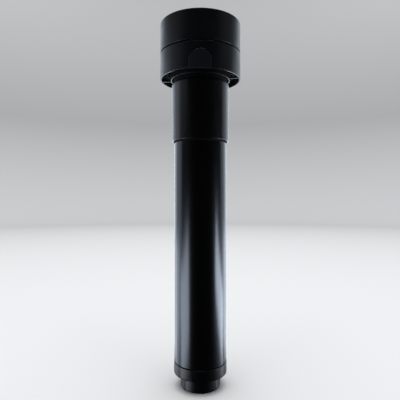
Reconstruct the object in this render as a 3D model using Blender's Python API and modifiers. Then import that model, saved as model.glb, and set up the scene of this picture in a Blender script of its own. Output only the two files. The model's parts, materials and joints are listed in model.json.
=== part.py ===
"""Sous vide circulator: head with a turning dial, neck, heater tube, end cap, foot and pot clip.

The origin is the centre of the foot pad's lower face, +Z runs up the tube and the front of
the head faces -Y. Sizes below are in millimetres and become metres when a mesh is made.
"""

import math

import bmesh
import bpy
from mathutils import Matrix, Vector

MM = 0.001
GAP = 0.4
SEAT = 0.3
EDGE = 0.5

# Heights above the surface that the circulator stands on
FOOT_BOTTOM = 0.5
PAD_TOP = 2.5
CAP_BOTTOM = 13.6
CAP_TOP = 24.7
CAP_SPIGOT_TOP = 33.0
PLATE_BOTTOM = 230.0
PLATE_TOP = 235.0
SLEEVE_BOTTOM = 238.0
TUBE_TOP = 243.0
SLEEVE_TOP = 292.9
COLLAR_BOTTOM = 297.5
HEAD_BOTTOM = 298.2
DECK_BOTTOM = 303.0
SEAM = 323.0
TOP_CAP_TOP = 350.9
HEAD_TOP = 351.1

# Radii of the outer shapes
PAD_RADIUS = 17.5
FOOT_RADIUS = 19.25
TUBE_RADIUS = 25.4
CAP_RADIUS = 25.8
SLEEVE_RADIUS = 27.9
COLLAR_RADIUS = 28.9
HEAD_RADIUS = 39.2
TOP_CAP_RADIUS = 34.0
BUTTON_RADIUS = 9.0

# Walls and other thicknesses
TUBE_WALL = 0.8
SLEEVE_WALL = 1.9
CAP_WALL = 1.6
HEAD_WALL = 2.5
RIM_WALL = 1.2
COLLAR_WALL = 1.0
DECK = 2.0
SEAM_WIDTH = 1.2
WINDOW_WALL = 1.4
BOARD = 1.6

# Inner frame, neck and their bores
FRAME_RADIUS = 34.4
FRAME_BORE = 32.4
FRAME_TOP = 347.5
NECK_RADIUS = 25.6
NECK_FLANGE = 27.3
NECK_BORE = 22.6
DECK_BORE = 21.0
SEAL_GROOVE = (231.8, 234.0)
SEAL_DEPTH = 1.3

# Head: spokes and vents, boards, window, gland and dial magnet
SPOKE_ANGLES = (-13.0, 52.0, 128.0, 173.0)
SPOKE = 1.6
VENT_ANGLES = [angle + offset for angle in range(0, 360, 90) for offset in (-18, 0, 18)]
VENT_CIRCLE = 30.6
WINDOW_WIDTH = 21.0
WINDOW_TOP = 315.6
GLAND_HEIGHT = 313.5
GLAND_RADIUS = 6.5
POWER_BOARD_BOTTOM = 313.4
CONTROL_BOARD_BOTTOM = 336.0
DIAL_MAGNET = (35.9, 34.9, 325.0, 331.0)

# Shaft and pump
SHAFT_RADIUS = 2.5
BORE_RADIUS = 2.85
SHAFT_BOTTOM = 27.0
SHAFT_TOP = 315.0
FAN = (306.6, 311.4)
MOTOR_CAN = (254.8, 293.0)
SPIDER = (42.0, 46.0)
IMPELLER = (28.5, 37.5)
INLETS = 12
INLET_CIRCLE = 22.0

# Heater, rods and sensors that hang from the neck's plate
CORE_TOP = 237.0
HEATER_CIRCLE = 16.0
HEATER_RADIUS = 2.2
RETURN_CIRCLE = 10.5
RETURN_ANGLE = 150.0
COIL = (66.0, 150.0)
CORE_ROD_CIRCLE = 20.8
CORE_ROD_RADIUS = 1.3
CORE_ROD_ANGLES = (30.0, 150.0, 270.0)
SENSOR_CIRCLE = 19.5
PROBE_RADIUS = 1.6
PROBE_ANGLE = 200.0
ELECTRODE_RADIUS = 1.0
ELECTRODES = ((330.0, 96.0), (350.0, 120.0))

# Outlet slots in the tube
SLOT_WIDTH = 4.0
SLOT_LENGTH = 24.0
SLOT_HEIGHTS = (62.0, 96.0)
SLOT_ANGLES = (-36.0, 0.0, 36.0)

# Pot clip
PIVOT_Y = 33.2
PIVOT_Z = 262.0
PIN_RADIUS = 1.45
PIN_HOLE = 1.8
ARM_HALF_WIDTH = 8.5
PAD_SIZE = (17.0, 5.4, 16.0)
PAD_CENTRE = (0.0, 28.8, 206.0)
SADDLE_SIZE = (22.6, 8.0, 21.0)
SADDLE_CENTRE = (0.0, 25.6, 256.5)

# Screws: head (radius, height), shank (radius, length), and the holes that they pass or enter
FRAME_SCREW_ANGLES = (45.0, 135.0, 225.0, 315.0)
FRAME_SCREW_CIRCLE = 32.6
FRAME_SCREW = ((2.7, 1.8), (1.2, 8.0))
NECK_SCREW_ANGLES = (0.0, 180.0)
NECK_SCREW_CIRCLE = 24.9
NECK_SCREW = ((2.4, 1.6), (1.2, 8.0))
BRACKET_SCREW_X = (-6.5, 6.5)
BRACKET_SCREW_Z = 250.5
BRACKET_SCREW_Y = 29.9
BRACKET_SCREW = ((2.2, 1.2), (1.1, 6.6))
FOOT_SCREW = ((3.0, 1.8), (1.15, 9.0))
FRAME_HOLE = 1.7
SCREW_HOLE = 1.6
PILOT_HOLE = 1.5

# Facets round a turn: large outer shapes, inner shapes, small bosses, and rods
OUTER_STEPS = 40
INNER_STEPS = 24
BOSS_STEPS = 16
ROD_STEPS = 10

FOOT_TOP = CAP_BOTTOM - GAP
TUBE_BORE = TUBE_RADIUS - TUBE_WALL
SPIGOT_RADIUS = TUBE_BORE - GAP
DECK_TOP = DECK_BOTTOM + DECK

for old in list(bpy.data.objects):
    bpy.data.objects.remove(old, do_unlink=True)

PARTS = bpy.data.collections.new("sous_vide_circulator")
CUTTERS = bpy.data.collections.new("cutters")
bpy.context.scene.collection.children.link(PARTS)
bpy.context.scene.collection.children.link(CUTTERS)


# ---------------------------------------------------------------- materials and shapes


def material(name, colour, roughness, metallic=0.0):
    """A plain Principled material."""
    made = bpy.data.materials.new(name)
    made.use_nodes = True
    shader = made.node_tree.nodes["Principled BSDF"]
    shader.inputs["Base Color"].default_value = (*colour, 1.0)
    shader.inputs["Roughness"].default_value = roughness
    shader.inputs["Metallic"].default_value = metallic
    return made


BLACK_PLASTIC = material("satin_black_plastic", (0.012, 0.013, 0.015), 0.42)
SLEEVE_PLASTIC = material("black_nylon", (0.014, 0.015, 0.018), 0.38)
CORE_PLASTIC = material("core_nylon", (0.01, 0.01, 0.011), 0.6)
SMOKED_WINDOW = material("smoked_polycarbonate", (0.02, 0.02, 0.022), 0.12)
DARK_STEEL = material("black_stainless_steel", (0.06, 0.062, 0.068), 0.22, 1.0)
STEEL = material("stainless_steel", (0.62, 0.62, 0.63), 0.28, 1.0)
SPRING_STEEL = material("spring_steel", (0.5, 0.5, 0.52), 0.35, 1.0)
ALUMINIUM = material("cast_aluminium", (0.6, 0.61, 0.62), 0.4, 1.0)
MAGNET = material("ferrite_magnet", (0.05, 0.05, 0.055), 0.6)
SILICONE = material("black_silicone", (0.016, 0.016, 0.016), 0.75)
BOARD_GREEN = material("circuit_board", (0.01, 0.07, 0.03), 0.5)
COMPONENT = material("component_plastic", (0.03, 0.03, 0.035), 0.5)
PUMP_PLASTIC = material("pump_plastic", (0.75, 0.75, 0.72), 0.45)


def new_part(name, mesh, finish):
    """An object of the assembly that shows the given mesh."""
    part = bpy.data.objects.new(name, mesh)
    PARTS.objects.link(part)
    mesh.materials.append(finish)
    return part


def new_cutter(name, mesh):
    """A hidden object that a Boolean reads."""
    cutter = bpy.data.objects.new(name, mesh)
    CUTTERS.objects.link(cutter)
    cutter.hide_render = True
    cutter.display_type = "WIRE"
    return cutter


def turned_mesh(name, profile, closed):
    """The edges of a profile of (radius, height) points in the XZ plane."""
    points = [(radius * MM, 0.0, height * MM) for radius, height in profile]
    edges = [(i, i + 1) for i in range(len(points) - 1)]
    if closed:
        edges.append((len(points) - 1, 0))
    mesh = bpy.data.meshes.new(name)
    mesh.from_pydata(points, edges, [])
    return mesh


def screw(obj, steps):
    """Turns a profile once round Z."""
    turn = obj.modifiers.new("Turn", "SCREW")
    turn.axis = "Z"
    turn.angle = 2.0 * math.pi
    turn.steps = steps
    turn.render_steps = steps
    turn.use_merge_vertices = True
    turn.merge_threshold = 0.00001
    turn.use_smooth_shade = True


def ring(name, profile, finish, steps=INNER_STEPS):
    """A turned piece with a bore: its profile is closed and runs down its outer side."""
    part = new_part(name, turned_mesh(name, profile, True), finish)
    screw(part, steps)
    return part


def spindle(name, profile, finish, steps=INNER_STEPS):
    """A turned piece without a bore: its profile starts and ends on the axis."""
    part = new_part(name, turned_mesh(name, profile, False), finish)
    screw(part, steps)
    return part


def tube_profile(outer, inner, bottom, top):
    """A plain tube's closed profile."""
    return [(outer, top), (outer, bottom), (inner, bottom), (inner, top)]


def add_box(shape, size, centre, turn=None):
    """Adds a box to a bmesh, turned about its own centre and then about Z by the matrix."""
    place = Matrix.Translation(Vector(centre) * MM) @ Matrix.Diagonal((*[s * MM for s in size], 1.0))
    if turn is not None:
        place = turn @ place
    bmesh.ops.create_cube(shape, size=1.0, matrix=place)


def add_rod(shape, radius, start, end, steps=ROD_STEPS):
    """Adds a cylinder to a bmesh between two points."""
    start = Vector(start) * MM
    end = Vector(end) * MM
    along = end - start
    place = Matrix.Translation((start + end) / 2.0) @ along.to_track_quat("Z", "Y").to_matrix().to_4x4()
    bmesh.ops.create_cone(
        shape,
        cap_ends=True,
        segments=steps,
        radius1=radius * MM,
        radius2=radius * MM,
        depth=along.length,
        matrix=place,
    )


def add_post(shape, radius, circle, degrees, bottom, top, steps=ROD_STEPS):
    """Adds an upright cylinder on a circle round the Z axis."""
    add_rod(shape, radius, around(circle, degrees, bottom), around(circle, degrees, top), steps)


def mesh_of(name, add_shapes):
    """A mesh made by a function that adds shapes to a bmesh."""
    shape = bmesh.new()
    add_shapes(shape)
    mesh = bpy.data.meshes.new(name)
    shape.to_mesh(mesh)
    shape.free()
    return mesh


def boolean(part, add_shapes, operation):
    """Cuts shapes out of a part, or joins them to it."""
    name = f"{part.name}_{operation.lower()}_{len(part.modifiers)}"
    change = part.modifiers.new(operation.title(), "BOOLEAN")
    change.operation = operation
    change.solver = "EXACT"
    change.use_self = True
    change.object = new_cutter(name, mesh_of(name, add_shapes))


def cut(part, add_shapes):
    boolean(part, add_shapes, "DIFFERENCE")


def join(part, add_shapes):
    boolean(part, add_shapes, "UNION")


def around(radius, degrees, height):
    """A point at a radius and an angle from +X."""
    angle = math.radians(degrees)
    return (radius * math.cos(angle), radius * math.sin(angle), height)


def spin(degrees):
    return Matrix.Rotation(math.radians(degrees), 4, "Z")


def rod(name, radius, start, end, finish, steps=ROD_STEPS):
    """A plain cylinder as a part."""
    part = new_part(name, mesh_of(name, lambda shape: add_rod(shape, radius, start, end, steps)), finish)
    part.data.shade_smooth()
    part.data.set_sharp_from_angle(angle=math.radians(40))
    return part


def block(name, size, centre, finish, edge=0.4):
    """A box with bevelled edges as a part."""
    part = new_part(name, mesh_of(name, lambda shape: add_box(shape, size, centre)), finish)
    bevel = part.modifiers.new("Edges", "BEVEL")
    bevel.width = edge * MM
    bevel.segments = 1
    return part


def wire(name, points, radius, finish):
    """A wire or tube that follows points, closed at its ends."""
    curve = bpy.data.curves.new(name, "CURVE")
    curve.dimensions = "3D"
    curve.bevel_depth = radius * MM
    curve.bevel_resolution = 2
    curve.use_fill_caps = True
    spline = curve.splines.new("POLY")
    spline.points.add(len(points) - 1)
    for place, (x, y, z) in zip(spline.points, points):
        place.co = (x * MM, y * MM, z * MM, 1.0)
    part = bpy.data.objects.new(name, curve)
    PARTS.objects.link(part)
    curve.materials.append(finish)
    return part


def machine_screw(name, place, axis, head, shank):
    """A screw whose head starts at a point; head and shank are (radius, length) along the axis."""
    seat = Vector(place)
    way = Vector(axis)

    def add_shank(shape):
        add_rod(shape, shank[0], seat - way * 0.2, seat + way * shank[1])

    part = rod(name, head[0], seat - way * head[1], seat, STEEL)
    join(part, add_shank)
    return part


# ---------------------------------------------------------------- head


def lower_housing():
    """Moulded lower ring: thin rim, deck with vents, collar round the neck, spokes, bosses' holes."""
    wall = HEAD_RADIUS - HEAD_WALL
    seam_low = SEAM - SEAM_WIDTH / 2.0
    collar_bore = COLLAR_RADIUS - COLLAR_WALL
    profile = [
        (HEAD_RADIUS - EDGE, seam_low),
        (HEAD_RADIUS, seam_low - EDGE),
        (HEAD_RADIUS, HEAD_BOTTOM + EDGE),
        (HEAD_RADIUS - EDGE, HEAD_BOTTOM),
        (HEAD_RADIUS - RIM_WALL, HEAD_BOTTOM),
        (wall, DECK_BOTTOM),
        (COLLAR_RADIUS, DECK_BOTTOM),
        (COLLAR_RADIUS, COLLAR_BOTTOM),
        (collar_bore, COLLAR_BOTTOM),
        (collar_bore, DECK_BOTTOM),
        (DECK_BORE, DECK_BOTTOM),
        (DECK_BORE, DECK_TOP),
        (wall, DECK_TOP),
        (wall, seam_low),
    ]
    part = ring("lower_housing", profile, BLACK_PLASTIC, OUTER_STEPS)
    join(part, add_spokes)
    cut(part, add_housing_openings)
    return part


def add_spokes(shape):
    """Slim spokes across the recess, sunk a little into the collar and the rim."""
    inner = COLLAR_RADIUS - COLLAR_WALL / 2.0
    outer = HEAD_RADIUS - RIM_WALL + GAP
    for angle in SPOKE_ANGLES:
        centre = ((inner + outer) / 2.0, 0.0, HEAD_BOTTOM + 1.0)
        add_box(shape, (outer - inner, SPOKE, SPOKE), centre, spin(angle))


def add_housing_openings(shape):
    """Vents and screw holes in the deck, the arched window and the cable gland's hole."""
    vent = (1.6, 5.0, 6.0)
    for angle in VENT_ANGLES:
        add_box(shape, vent, (VENT_CIRCLE, 0.0, DECK_BOTTOM + 1.0), spin(angle))
    for angle in FRAME_SCREW_ANGLES:
        add_post(shape, FRAME_HOLE, FRAME_SCREW_CIRCLE, angle, DECK_BOTTOM - 1.0, DECK_TOP + 1.0)
    for angle in NECK_SCREW_ANGLES:
        add_post(shape, SCREW_HOLE, NECK_SCREW_CIRCLE, angle, DECK_BOTTOM - 1.0, DECK_TOP + 1.0)
    inner_y = HEAD_RADIUS - 3.2
    add_arch(shape, WINDOW_WIDTH / 2.0 + SEAT, HEAD_BOTTOM - 2.0, WINDOW_TOP + SEAT, inner_y)
    outside = (0.0, HEAD_RADIUS + 1.8, GLAND_HEIGHT)
    add_rod(shape, 5.1, (0.0, 35.0, GLAND_HEIGHT), outside, INNER_STEPS)
    add_rod(shape, GLAND_RADIUS + GAP, (0.0, 37.7, GLAND_HEIGHT), outside, INNER_STEPS)


def add_arch(shape, half_width, bottom, top, inner_y, reach=6.0):
    """Adds an upright arch that is pushed forward, towards -Y, from an inner plane."""
    spring_line = top - half_width * 0.9
    steps = 16
    outline = [(-half_width, bottom)]
    for i in range(steps + 1):
        angle = math.pi - math.pi * i / steps
        outline.append(
            (half_width * math.cos(angle), spring_line + (top - spring_line) * math.sin(angle))
        )
    outline.append((half_width, bottom))
    back = [shape.verts.new((x * MM, -inner_y * MM, z * MM)) for x, z in outline]
    face = shape.faces.new(back)
    pushed = bmesh.ops.extrude_face_region(shape, geom=[face])["geom"]
    moved = [item for item in pushed if isinstance(item, bmesh.types.BMVert)]
    bmesh.ops.translate(shape, verts=moved, vec=(0.0, -reach * MM, 0.0))
    bmesh.ops.recalc_face_normals(shape, faces=list(shape.faces))


def display_window():
    """Smoked window: the part of a turned band that lies inside the arch."""
    profile = tube_profile(HEAD_RADIUS, HEAD_RADIUS - WINDOW_WALL, HEAD_BOTTOM, WINDOW_TOP + 2.0)
    part = ring("display_window", profile, SMOKED_WINDOW, OUTER_STEPS)

    def arch(shape):
        add_arch(shape, WINDOW_WIDTH / 2.0, HEAD_BOTTOM - 1.0, WINDOW_TOP, 30.0, 12.0)

    boolean(part, arch, "INTERSECT")
    return part


def inner_frame():
    """The tube that the dial turns on, with four bosses for the screws that come up from below."""
    bottom = DECK_TOP + GAP
    boss_radius = 3.2
    boss_top = 313.0
    pilot_top = boss_top - 1.5
    profile = tube_profile(FRAME_RADIUS, FRAME_BORE, bottom, FRAME_TOP)
    part = ring("inner_frame", profile, CORE_PLASTIC, OUTER_STEPS)

    def bosses(shape):
        for angle in FRAME_SCREW_ANGLES:
            add_post(shape, boss_radius, FRAME_SCREW_CIRCLE, angle, bottom, boss_top)

    def holes(shape):
        for angle in FRAME_SCREW_ANGLES:
            add_post(shape, PILOT_HOLE, FRAME_SCREW_CIRCLE, angle, DECK_TOP - 1.0, pilot_top)
        add_rod(shape, 4.2, (0.0, 30.0, GLAND_HEIGHT), (0.0, 36.0, GLAND_HEIGHT))

    join(part, bosses)
    cut(part, holes)
    return part


def dial_ring():
    """Upper ring of the head: it turns on the inner frame and its lip is held by the top cap."""
    bottom = SEAM + SEAM_WIDTH / 2.0
    magnet_seat = DIAL_MAGNET[0] + GAP
    bore = FRAME_RADIUS + GAP
    lip_bore = 32.0
    lip_bottom = FRAME_TOP + GAP
    lip_top = lip_bottom + 1.2
    profile = [
        (HEAD_RADIUS - EDGE, HEAD_TOP),
        (HEAD_RADIUS, HEAD_TOP - EDGE),
        (HEAD_RADIUS, bottom + EDGE),
        (HEAD_RADIUS - EDGE, bottom),
        (magnet_seat, bottom),
        (magnet_seat, DIAL_MAGNET[3] + 2.0),
        (bore, DIAL_MAGNET[3] + 3.0),
        (bore, lip_bottom),
        (lip_bore, lip_bottom),
        (lip_bore, lip_top),
        (TOP_CAP_RADIUS + GAP, lip_top),
        (TOP_CAP_RADIUS + GAP, HEAD_TOP),
    ]
    return ring("dial_ring", profile, BLACK_PLASTIC, OUTER_STEPS)


def dial_magnet_ring():
    """Ring magnet in the dial, read by a sensor in the head."""
    return ring("dial_magnet_ring", tube_profile(*DIAL_MAGNET), MAGNET)


def top_cap():
    """Fixed disc in the middle of the dial: a rim over the dial's lip and a neck in its bore."""
    edge = 0.4
    rim_bottom = TOP_CAP_TOP - 1.4
    underside = TOP_CAP_TOP - 3.4
    neck = (31.6, 29.8)
    neck_bottom = 341.0
    profile = [
        (TOP_CAP_RADIUS - edge, TOP_CAP_TOP),
        (TOP_CAP_RADIUS, TOP_CAP_TOP - edge),
        (TOP_CAP_RADIUS, rim_bottom),
        (neck[0], rim_bottom),
        (neck[0], neck_bottom),
        (neck[1], neck_bottom),
        (neck[1], underside),
        (BUTTON_RADIUS + GAP, underside),
        (BUTTON_RADIUS + GAP, TOP_CAP_TOP),
    ]
    return ring("top_cap", profile, BLACK_PLASTIC, OUTER_STEPS)


def start_button():
    """Push button with a flange under the top cap and a stem over its switch."""
    flange_top = TOP_CAP_TOP - 3.8
    flange_bottom = flange_top - 1.2
    flange_radius = BUTTON_RADIUS + 1.8
    stem_radius = 2.2
    stem_bottom = 342.5
    profile = [
        (0.0, TOP_CAP_TOP),
        (BUTTON_RADIUS - EDGE, TOP_CAP_TOP),
        (BUTTON_RADIUS, TOP_CAP_TOP - EDGE),
        (BUTTON_RADIUS, flange_top),
        (flange_radius, flange_top),
        (flange_radius, flange_bottom),
        (stem_radius, flange_bottom),
        (stem_radius, stem_bottom),
        (0.0, stem_bottom),
    ]
    return spindle("start_button", profile, BLACK_PLASTIC)


def helix(radius, bottom, top, turns, steps):
    """Points of a coil that climbs round the Z axis."""
    count = int(turns * steps)
    points = []
    for i in range(count + 1):
        part = i / count
        points.append(around(radius, 360.0 * turns * part, bottom + (top - bottom) * part))
    return points


def button_spring():
    """Return spring between the control board and the button's flange."""
    circle = 6.8
    bottom = 338.4
    top = 345.1
    return wire("button_spring", helix(circle, bottom, top, 3.0, 12), 0.4, SPRING_STEEL)


def button_switch():
    """Small switch on the control board, under the button's stem."""
    size = (7.0, 7.0, 3.4)
    middle = CONTROL_BOARD_BOTTOM + BOARD + GAP + size[2] / 2.0
    return block("button_switch", size, (0.0, 0.0, middle), COMPONENT)


def control_board():
    """Upper circuit board, with the switch and the dial's sensor."""
    top = CONTROL_BOARD_BOTTOM + BOARD
    return ring("control_board", tube_profile(31.2, 1.5, CONTROL_BOARD_BOTTOM, top), BOARD_GREEN)


def power_board():
    """Lower circuit board, open in the middle for the cooling fan."""
    top = POWER_BOARD_BOTTOM + BOARD
    return ring("power_board", tube_profile(31.8, 19.0, POWER_BOARD_BOTTOM, top), BOARD_GREEN)


def board_parts():
    """Spacers between the boards and the large components on the power board."""
    seat = POWER_BOARD_BOTTOM + BOARD + SEAT
    for number, angle in enumerate((90.0, 210.0, 330.0), 1):
        start = around(27.5, angle, seat)
        end = around(27.5, angle, CONTROL_BOARD_BOTTOM - SEAT)
        rod(f"board_spacer_{number}", 2.2, start, end, STEEL)
    for number, angle in enumerate((140.0, 175.0), 1):
        start = around(25.0, angle, seat)
        end = around(25.0, angle, seat + 16.0)
        rod(f"filter_capacitor_{number}", 5.0, start, end, COMPONENT, BOSS_STEPS)
    relay = (8.0, 14.0, 14.0)
    block("heater_relay", relay, (25.5, 3.5, seat + relay[2] / 2.0), COMPONENT)
    transformer = (18.0, 8.0, 12.0)
    block("supply_transformer", transformer, (0.0, -25.0, seat + transformer[2] / 2.0), COMPONENT)


def display_module():
    """Flat display behind the window."""
    return block("display_module", (12.0, 1.1, 7.4), (0.0, -35.7, 309.4), COMPONENT, 0.2)


def cable_gland():
    """Flush rubber gland at the back of the head: a flanged sleeve whose bore takes the cord."""
    flange_inner = HEAD_RADIUS - 1.1
    tail_radius = 4.7
    tail_end = 35.4
    cord_bore = 3.4
    profile = [
        (GLAND_RADIUS - 0.4, HEAD_RADIUS),
        (GLAND_RADIUS, HEAD_RADIUS - 0.4),
        (GLAND_RADIUS, flange_inner),
        (tail_radius, flange_inner),
        (tail_radius, tail_end),
        (cord_bore, tail_end),
        (cord_bore, HEAD_RADIUS),
    ]
    part = ring("cable_gland", profile, SILICONE)
    to_back = Matrix.Rotation(-math.pi / 2.0, 4, "X")
    part.matrix_world = Matrix.Translation((0.0, 0.0, GLAND_HEIGHT * MM)) @ to_back
    return part


def frame_screws():
    """Four screws under the head that hold the inner frame to the deck."""
    for number, angle in enumerate(FRAME_SCREW_ANGLES, 1):
        seat = around(FRAME_SCREW_CIRCLE, angle, DECK_BOTTOM - SEAT)
        machine_screw(f"frame_screw_{number}", seat, (0, 0, 1), *FRAME_SCREW)


def neck_screws():
    """Two screws that hold the deck to the neck."""
    for number, angle in enumerate(NECK_SCREW_ANGLES, 1):
        seat = around(NECK_SCREW_CIRCLE, angle, DECK_TOP + SEAT)
        machine_screw(f"neck_screw_{number}", seat, (0, 0, -1), *NECK_SCREW)


# ---------------------------------------------------------------- neck and pot clip


def neck_core():
    """Moulded spine of the neck: its lower plate seals the tube and carries the core."""
    top = DECK_BOTTOM - SEAT
    flange = (298.8, 300.2)
    hub_bore = 6.4
    groove_radius = SPIGOT_RADIUS - SEAL_DEPTH
    profile = [
        (NECK_FLANGE, top),
        (NECK_FLANGE, flange[1]),
        (NECK_RADIUS, flange[0]),
        (NECK_RADIUS, TUBE_TOP + GAP),
        (SPIGOT_RADIUS, TUBE_TOP + GAP),
        (SPIGOT_RADIUS, SEAL_GROOVE[1]),
        (groove_radius, SEAL_GROOVE[1]),
        (groove_radius, SEAL_GROOVE[0]),
        (SPIGOT_RADIUS, SEAL_GROOVE[0]),
        (SPIGOT_RADIUS, PLATE_BOTTOM),
        (hub_bore, PLATE_BOTTOM),
        (hub_bore, PLATE_TOP),
        (NECK_BORE, PLATE_TOP),
        (NECK_BORE, top),
    ]
    part = ring("neck_core", profile, CORE_PLASTIC, OUTER_STEPS)
    cut(part, add_neck_holes)
    return part


def add_neck_holes(shape):
    """Blind holes for the screws and the holes of everything that hangs from the plate."""
    for angle in NECK_SCREW_ANGLES:
        add_post(shape, PILOT_HOLE, NECK_SCREW_CIRCLE, angle, 295.5, DECK_BOTTOM + 1.0)
    hung = [(HEATER_CIRCLE, 0.0, HEATER_RADIUS), (RETURN_CIRCLE, RETURN_ANGLE, HEATER_RADIUS)]
    hung.extend((CORE_ROD_CIRCLE, angle, CORE_ROD_RADIUS) for angle in CORE_ROD_ANGLES)
    hung.append((SENSOR_CIRCLE, PROBE_ANGLE, PROBE_RADIUS))
    hung.extend((SENSOR_CIRCLE, angle, ELECTRODE_RADIUS) for angle, _ in ELECTRODES)
    for circle, angle, radius in hung:
        add_post(shape, radius + GAP, circle, angle, PLATE_BOTTOM - 1.0, PLATE_TOP + 1.0)
    for x in BRACKET_SCREW_X:
        add_rod(shape, PILOT_HOLE, (x, 22.9, BRACKET_SCREW_Z), (x, 28.0, BRACKET_SCREW_Z))


def neck_sleeve():
    """Outer sleeve of the neck, with a softened lip round the tube."""
    bore = SLEEVE_RADIUS - SLEEVE_WALL
    profile = [
        (SLEEVE_RADIUS - 0.4, SLEEVE_TOP),
        (SLEEVE_RADIUS, SLEEVE_TOP - 0.4),
        (SLEEVE_RADIUS - 0.15, SLEEVE_BOTTOM + 0.6),
        (SLEEVE_RADIUS - 0.6, SLEEVE_BOTTOM),
        (bore + 0.5, SLEEVE_BOTTOM),
        (bore, SLEEVE_BOTTOM + 1.2),
        (bore, SLEEVE_TOP),
    ]
    part = ring("neck_sleeve", profile, SLEEVE_PLASTIC, OUTER_STEPS)

    def holes(shape):
        for x in BRACKET_SCREW_X:
            add_rod(shape, SCREW_HOLE, (x, 20.0, BRACKET_SCREW_Z), (x, 30.0, BRACKET_SCREW_Z))

    cut(part, holes)
    return part


def clip_bracket():
    """Saddle screwed to the back of the sleeve, with two ears for the clip's pin."""
    ear_radius = 3.4
    ear_inner = 8.9
    ear_outer = 11.3
    saddle_gap = 0.35

    def saddle(shape):
        add_box(shape, SADDLE_SIZE, SADDLE_CENTRE)

    part = new_part("clip_bracket", mesh_of("clip_bracket", saddle), SLEEVE_PLASTIC)

    def ears(shape):
        middle = (ear_inner + ear_outer) / 2.0
        web = (ear_outer - ear_inner, 5.0, 2.0 * ear_radius)
        for side in (-1.0, 1.0):
            inner = (side * ear_inner, PIVOT_Y, PIVOT_Z)
            add_rod(shape, ear_radius, inner, (side * ear_outer, PIVOT_Y, PIVOT_Z), 20)
            add_box(shape, web, (side * middle, PIVOT_Y - web[1] / 2.0, PIVOT_Z))

    def openings(shape):
        add_rod(shape, SLEEVE_RADIUS + saddle_gap, (0.0, 0.0, 240.0), (0.0, 0.0, 275.0), OUTER_STEPS)
        add_rod(shape, PIN_HOLE, (-14.0, PIVOT_Y, PIVOT_Z), (14.0, PIVOT_Y, PIVOT_Z))
        for x in BRACKET_SCREW_X:
            add_rod(shape, SCREW_HOLE, (x, 20.0, BRACKET_SCREW_Z), (x, 34.0, BRACKET_SCREW_Z))

    join(part, ears)
    cut(part, openings)
    return part


def clip_pin():
    """Steel pin through the bracket's ears and the clip's knuckle."""
    half = SADDLE_SIZE[0] / 2.0 + SEAT
    return rod("clip_pin", PIN_RADIUS, (-half, PIVOT_Y, PIVOT_Z), (half, PIVOT_Y, PIVOT_Z), STEEL)


def clip_spring():
    """Torsion spring in the slot of the knuckle, wound round the pin."""
    circle = 2.3
    half = 2.2
    turns = [(z, PIVOT_Y + x, PIVOT_Z + y) for x, y, z in helix(circle, -half, half, 4.0, 10)]
    return wire("clip_spring", turns, 0.4, SPRING_STEEL)


def clip_arm():
    """Lever of the pot clip: thumb tab above the pin, long jaw below it.

    Its outline is the side view, in Y and Z, pushed through the arm's width.
    """
    outline = [
        (33.2, 265.1),
        (36.0, 287.6),
        (36.9, 289.2),
        (38.4, 289.0),
        (38.9, 287.2),
        (36.5, 263.0),
        (36.5, 258.0),
        (34.6, 240.0),
        (34.4, 204.0),
        (37.0, 193.6),
        (35.4, 193.0),
        (31.9, 203.0),
        (31.9, 240.0),
        (31.9, 252.0),
        (30.9, 259.0),
        (30.1, 261.5),
        (30.7, 264.0),
    ]
    slot_half = 2.9
    slot_radius = 3.1

    def side(shape):
        corners = [shape.verts.new((-ARM_HALF_WIDTH * MM, y * MM, z * MM)) for y, z in outline]
        face = shape.faces.new(corners)
        pushed = bmesh.ops.extrude_face_region(shape, geom=[face])["geom"]
        moved = [item for item in pushed if isinstance(item, bmesh.types.BMVert)]
        bmesh.ops.translate(shape, verts=moved, vec=(2.0 * ARM_HALF_WIDTH * MM, 0.0, 0.0))
        bmesh.ops.recalc_face_normals(shape, faces=list(shape.faces))

    part = new_part("clip_arm", mesh_of("clip_arm", side), SLEEVE_PLASTIC)

    def openings(shape):
        add_rod(shape, PIN_HOLE, (-10.0, PIVOT_Y, PIVOT_Z), (10.0, PIVOT_Y, PIVOT_Z))
        left = (-slot_half, PIVOT_Y, PIVOT_Z)
        add_rod(shape, slot_radius, left, (slot_half, PIVOT_Y, PIVOT_Z), BOSS_STEPS)
        add_box(shape, (2.0 * slot_half, 4.0, 5.0), (0.0, PIVOT_Y - 2.6, PIVOT_Z))

    cut(part, openings)
    part.location = Vector((0.0, PIVOT_Y, PIVOT_Z)) * MM
    part.data.transform(Matrix.Translation(-part.location))
    return part


def clip_pad():
    """Rubber pad on the jaw, which presses the pot's wall against the tube."""
    return block("clip_pad", PAD_SIZE, PAD_CENTRE, SILICONE, 0.6)


def bracket_screws():
    """Two screws that hold the bracket and the sleeve to the neck."""
    for number, x in enumerate(BRACKET_SCREW_X, 1):
        seat = (x, BRACKET_SCREW_Y, BRACKET_SCREW_Z)
        machine_screw(f"bracket_screw_{number}", seat, (0, -1, 0), *BRACKET_SCREW)


# ---------------------------------------------------------------- motor and pump


def motor_bracket():
    """Plate in the neck that carries the motor."""
    return ring("motor_bracket", tube_profile(NECK_BORE - GAP, 6.5, 252.0, 254.4), ALUMINIUM)


def motor_can():
    """Steel can of the motor, open round the shaft at both ends."""
    bottom, top = MOTOR_CAN
    outer = 17.5
    inner = 15.9
    bore = 3.2
    end_wall = 2.0
    edge = 0.6
    profile = [
        (outer - edge, top),
        (outer, top - edge),
        (outer, bottom),
        (bore, bottom),
        (bore, bottom + end_wall),
        (inner, bottom + end_wall),
        (inner, top - end_wall),
        (bore, top - end_wall),
        (bore, top),
    ]
    return ring("motor_can", profile, STEEL)


def stator_magnet():
    """Magnet ring fixed in the motor's can."""
    return ring("stator_magnet", tube_profile(15.5, 13.2, 259.0, 288.0), MAGNET)


def motor_rotor():
    """Wound rotor on the shaft."""
    return ring("motor_rotor", tube_profile(12.7, BORE_RADIUS, 260.0, 287.0), STEEL)


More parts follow.
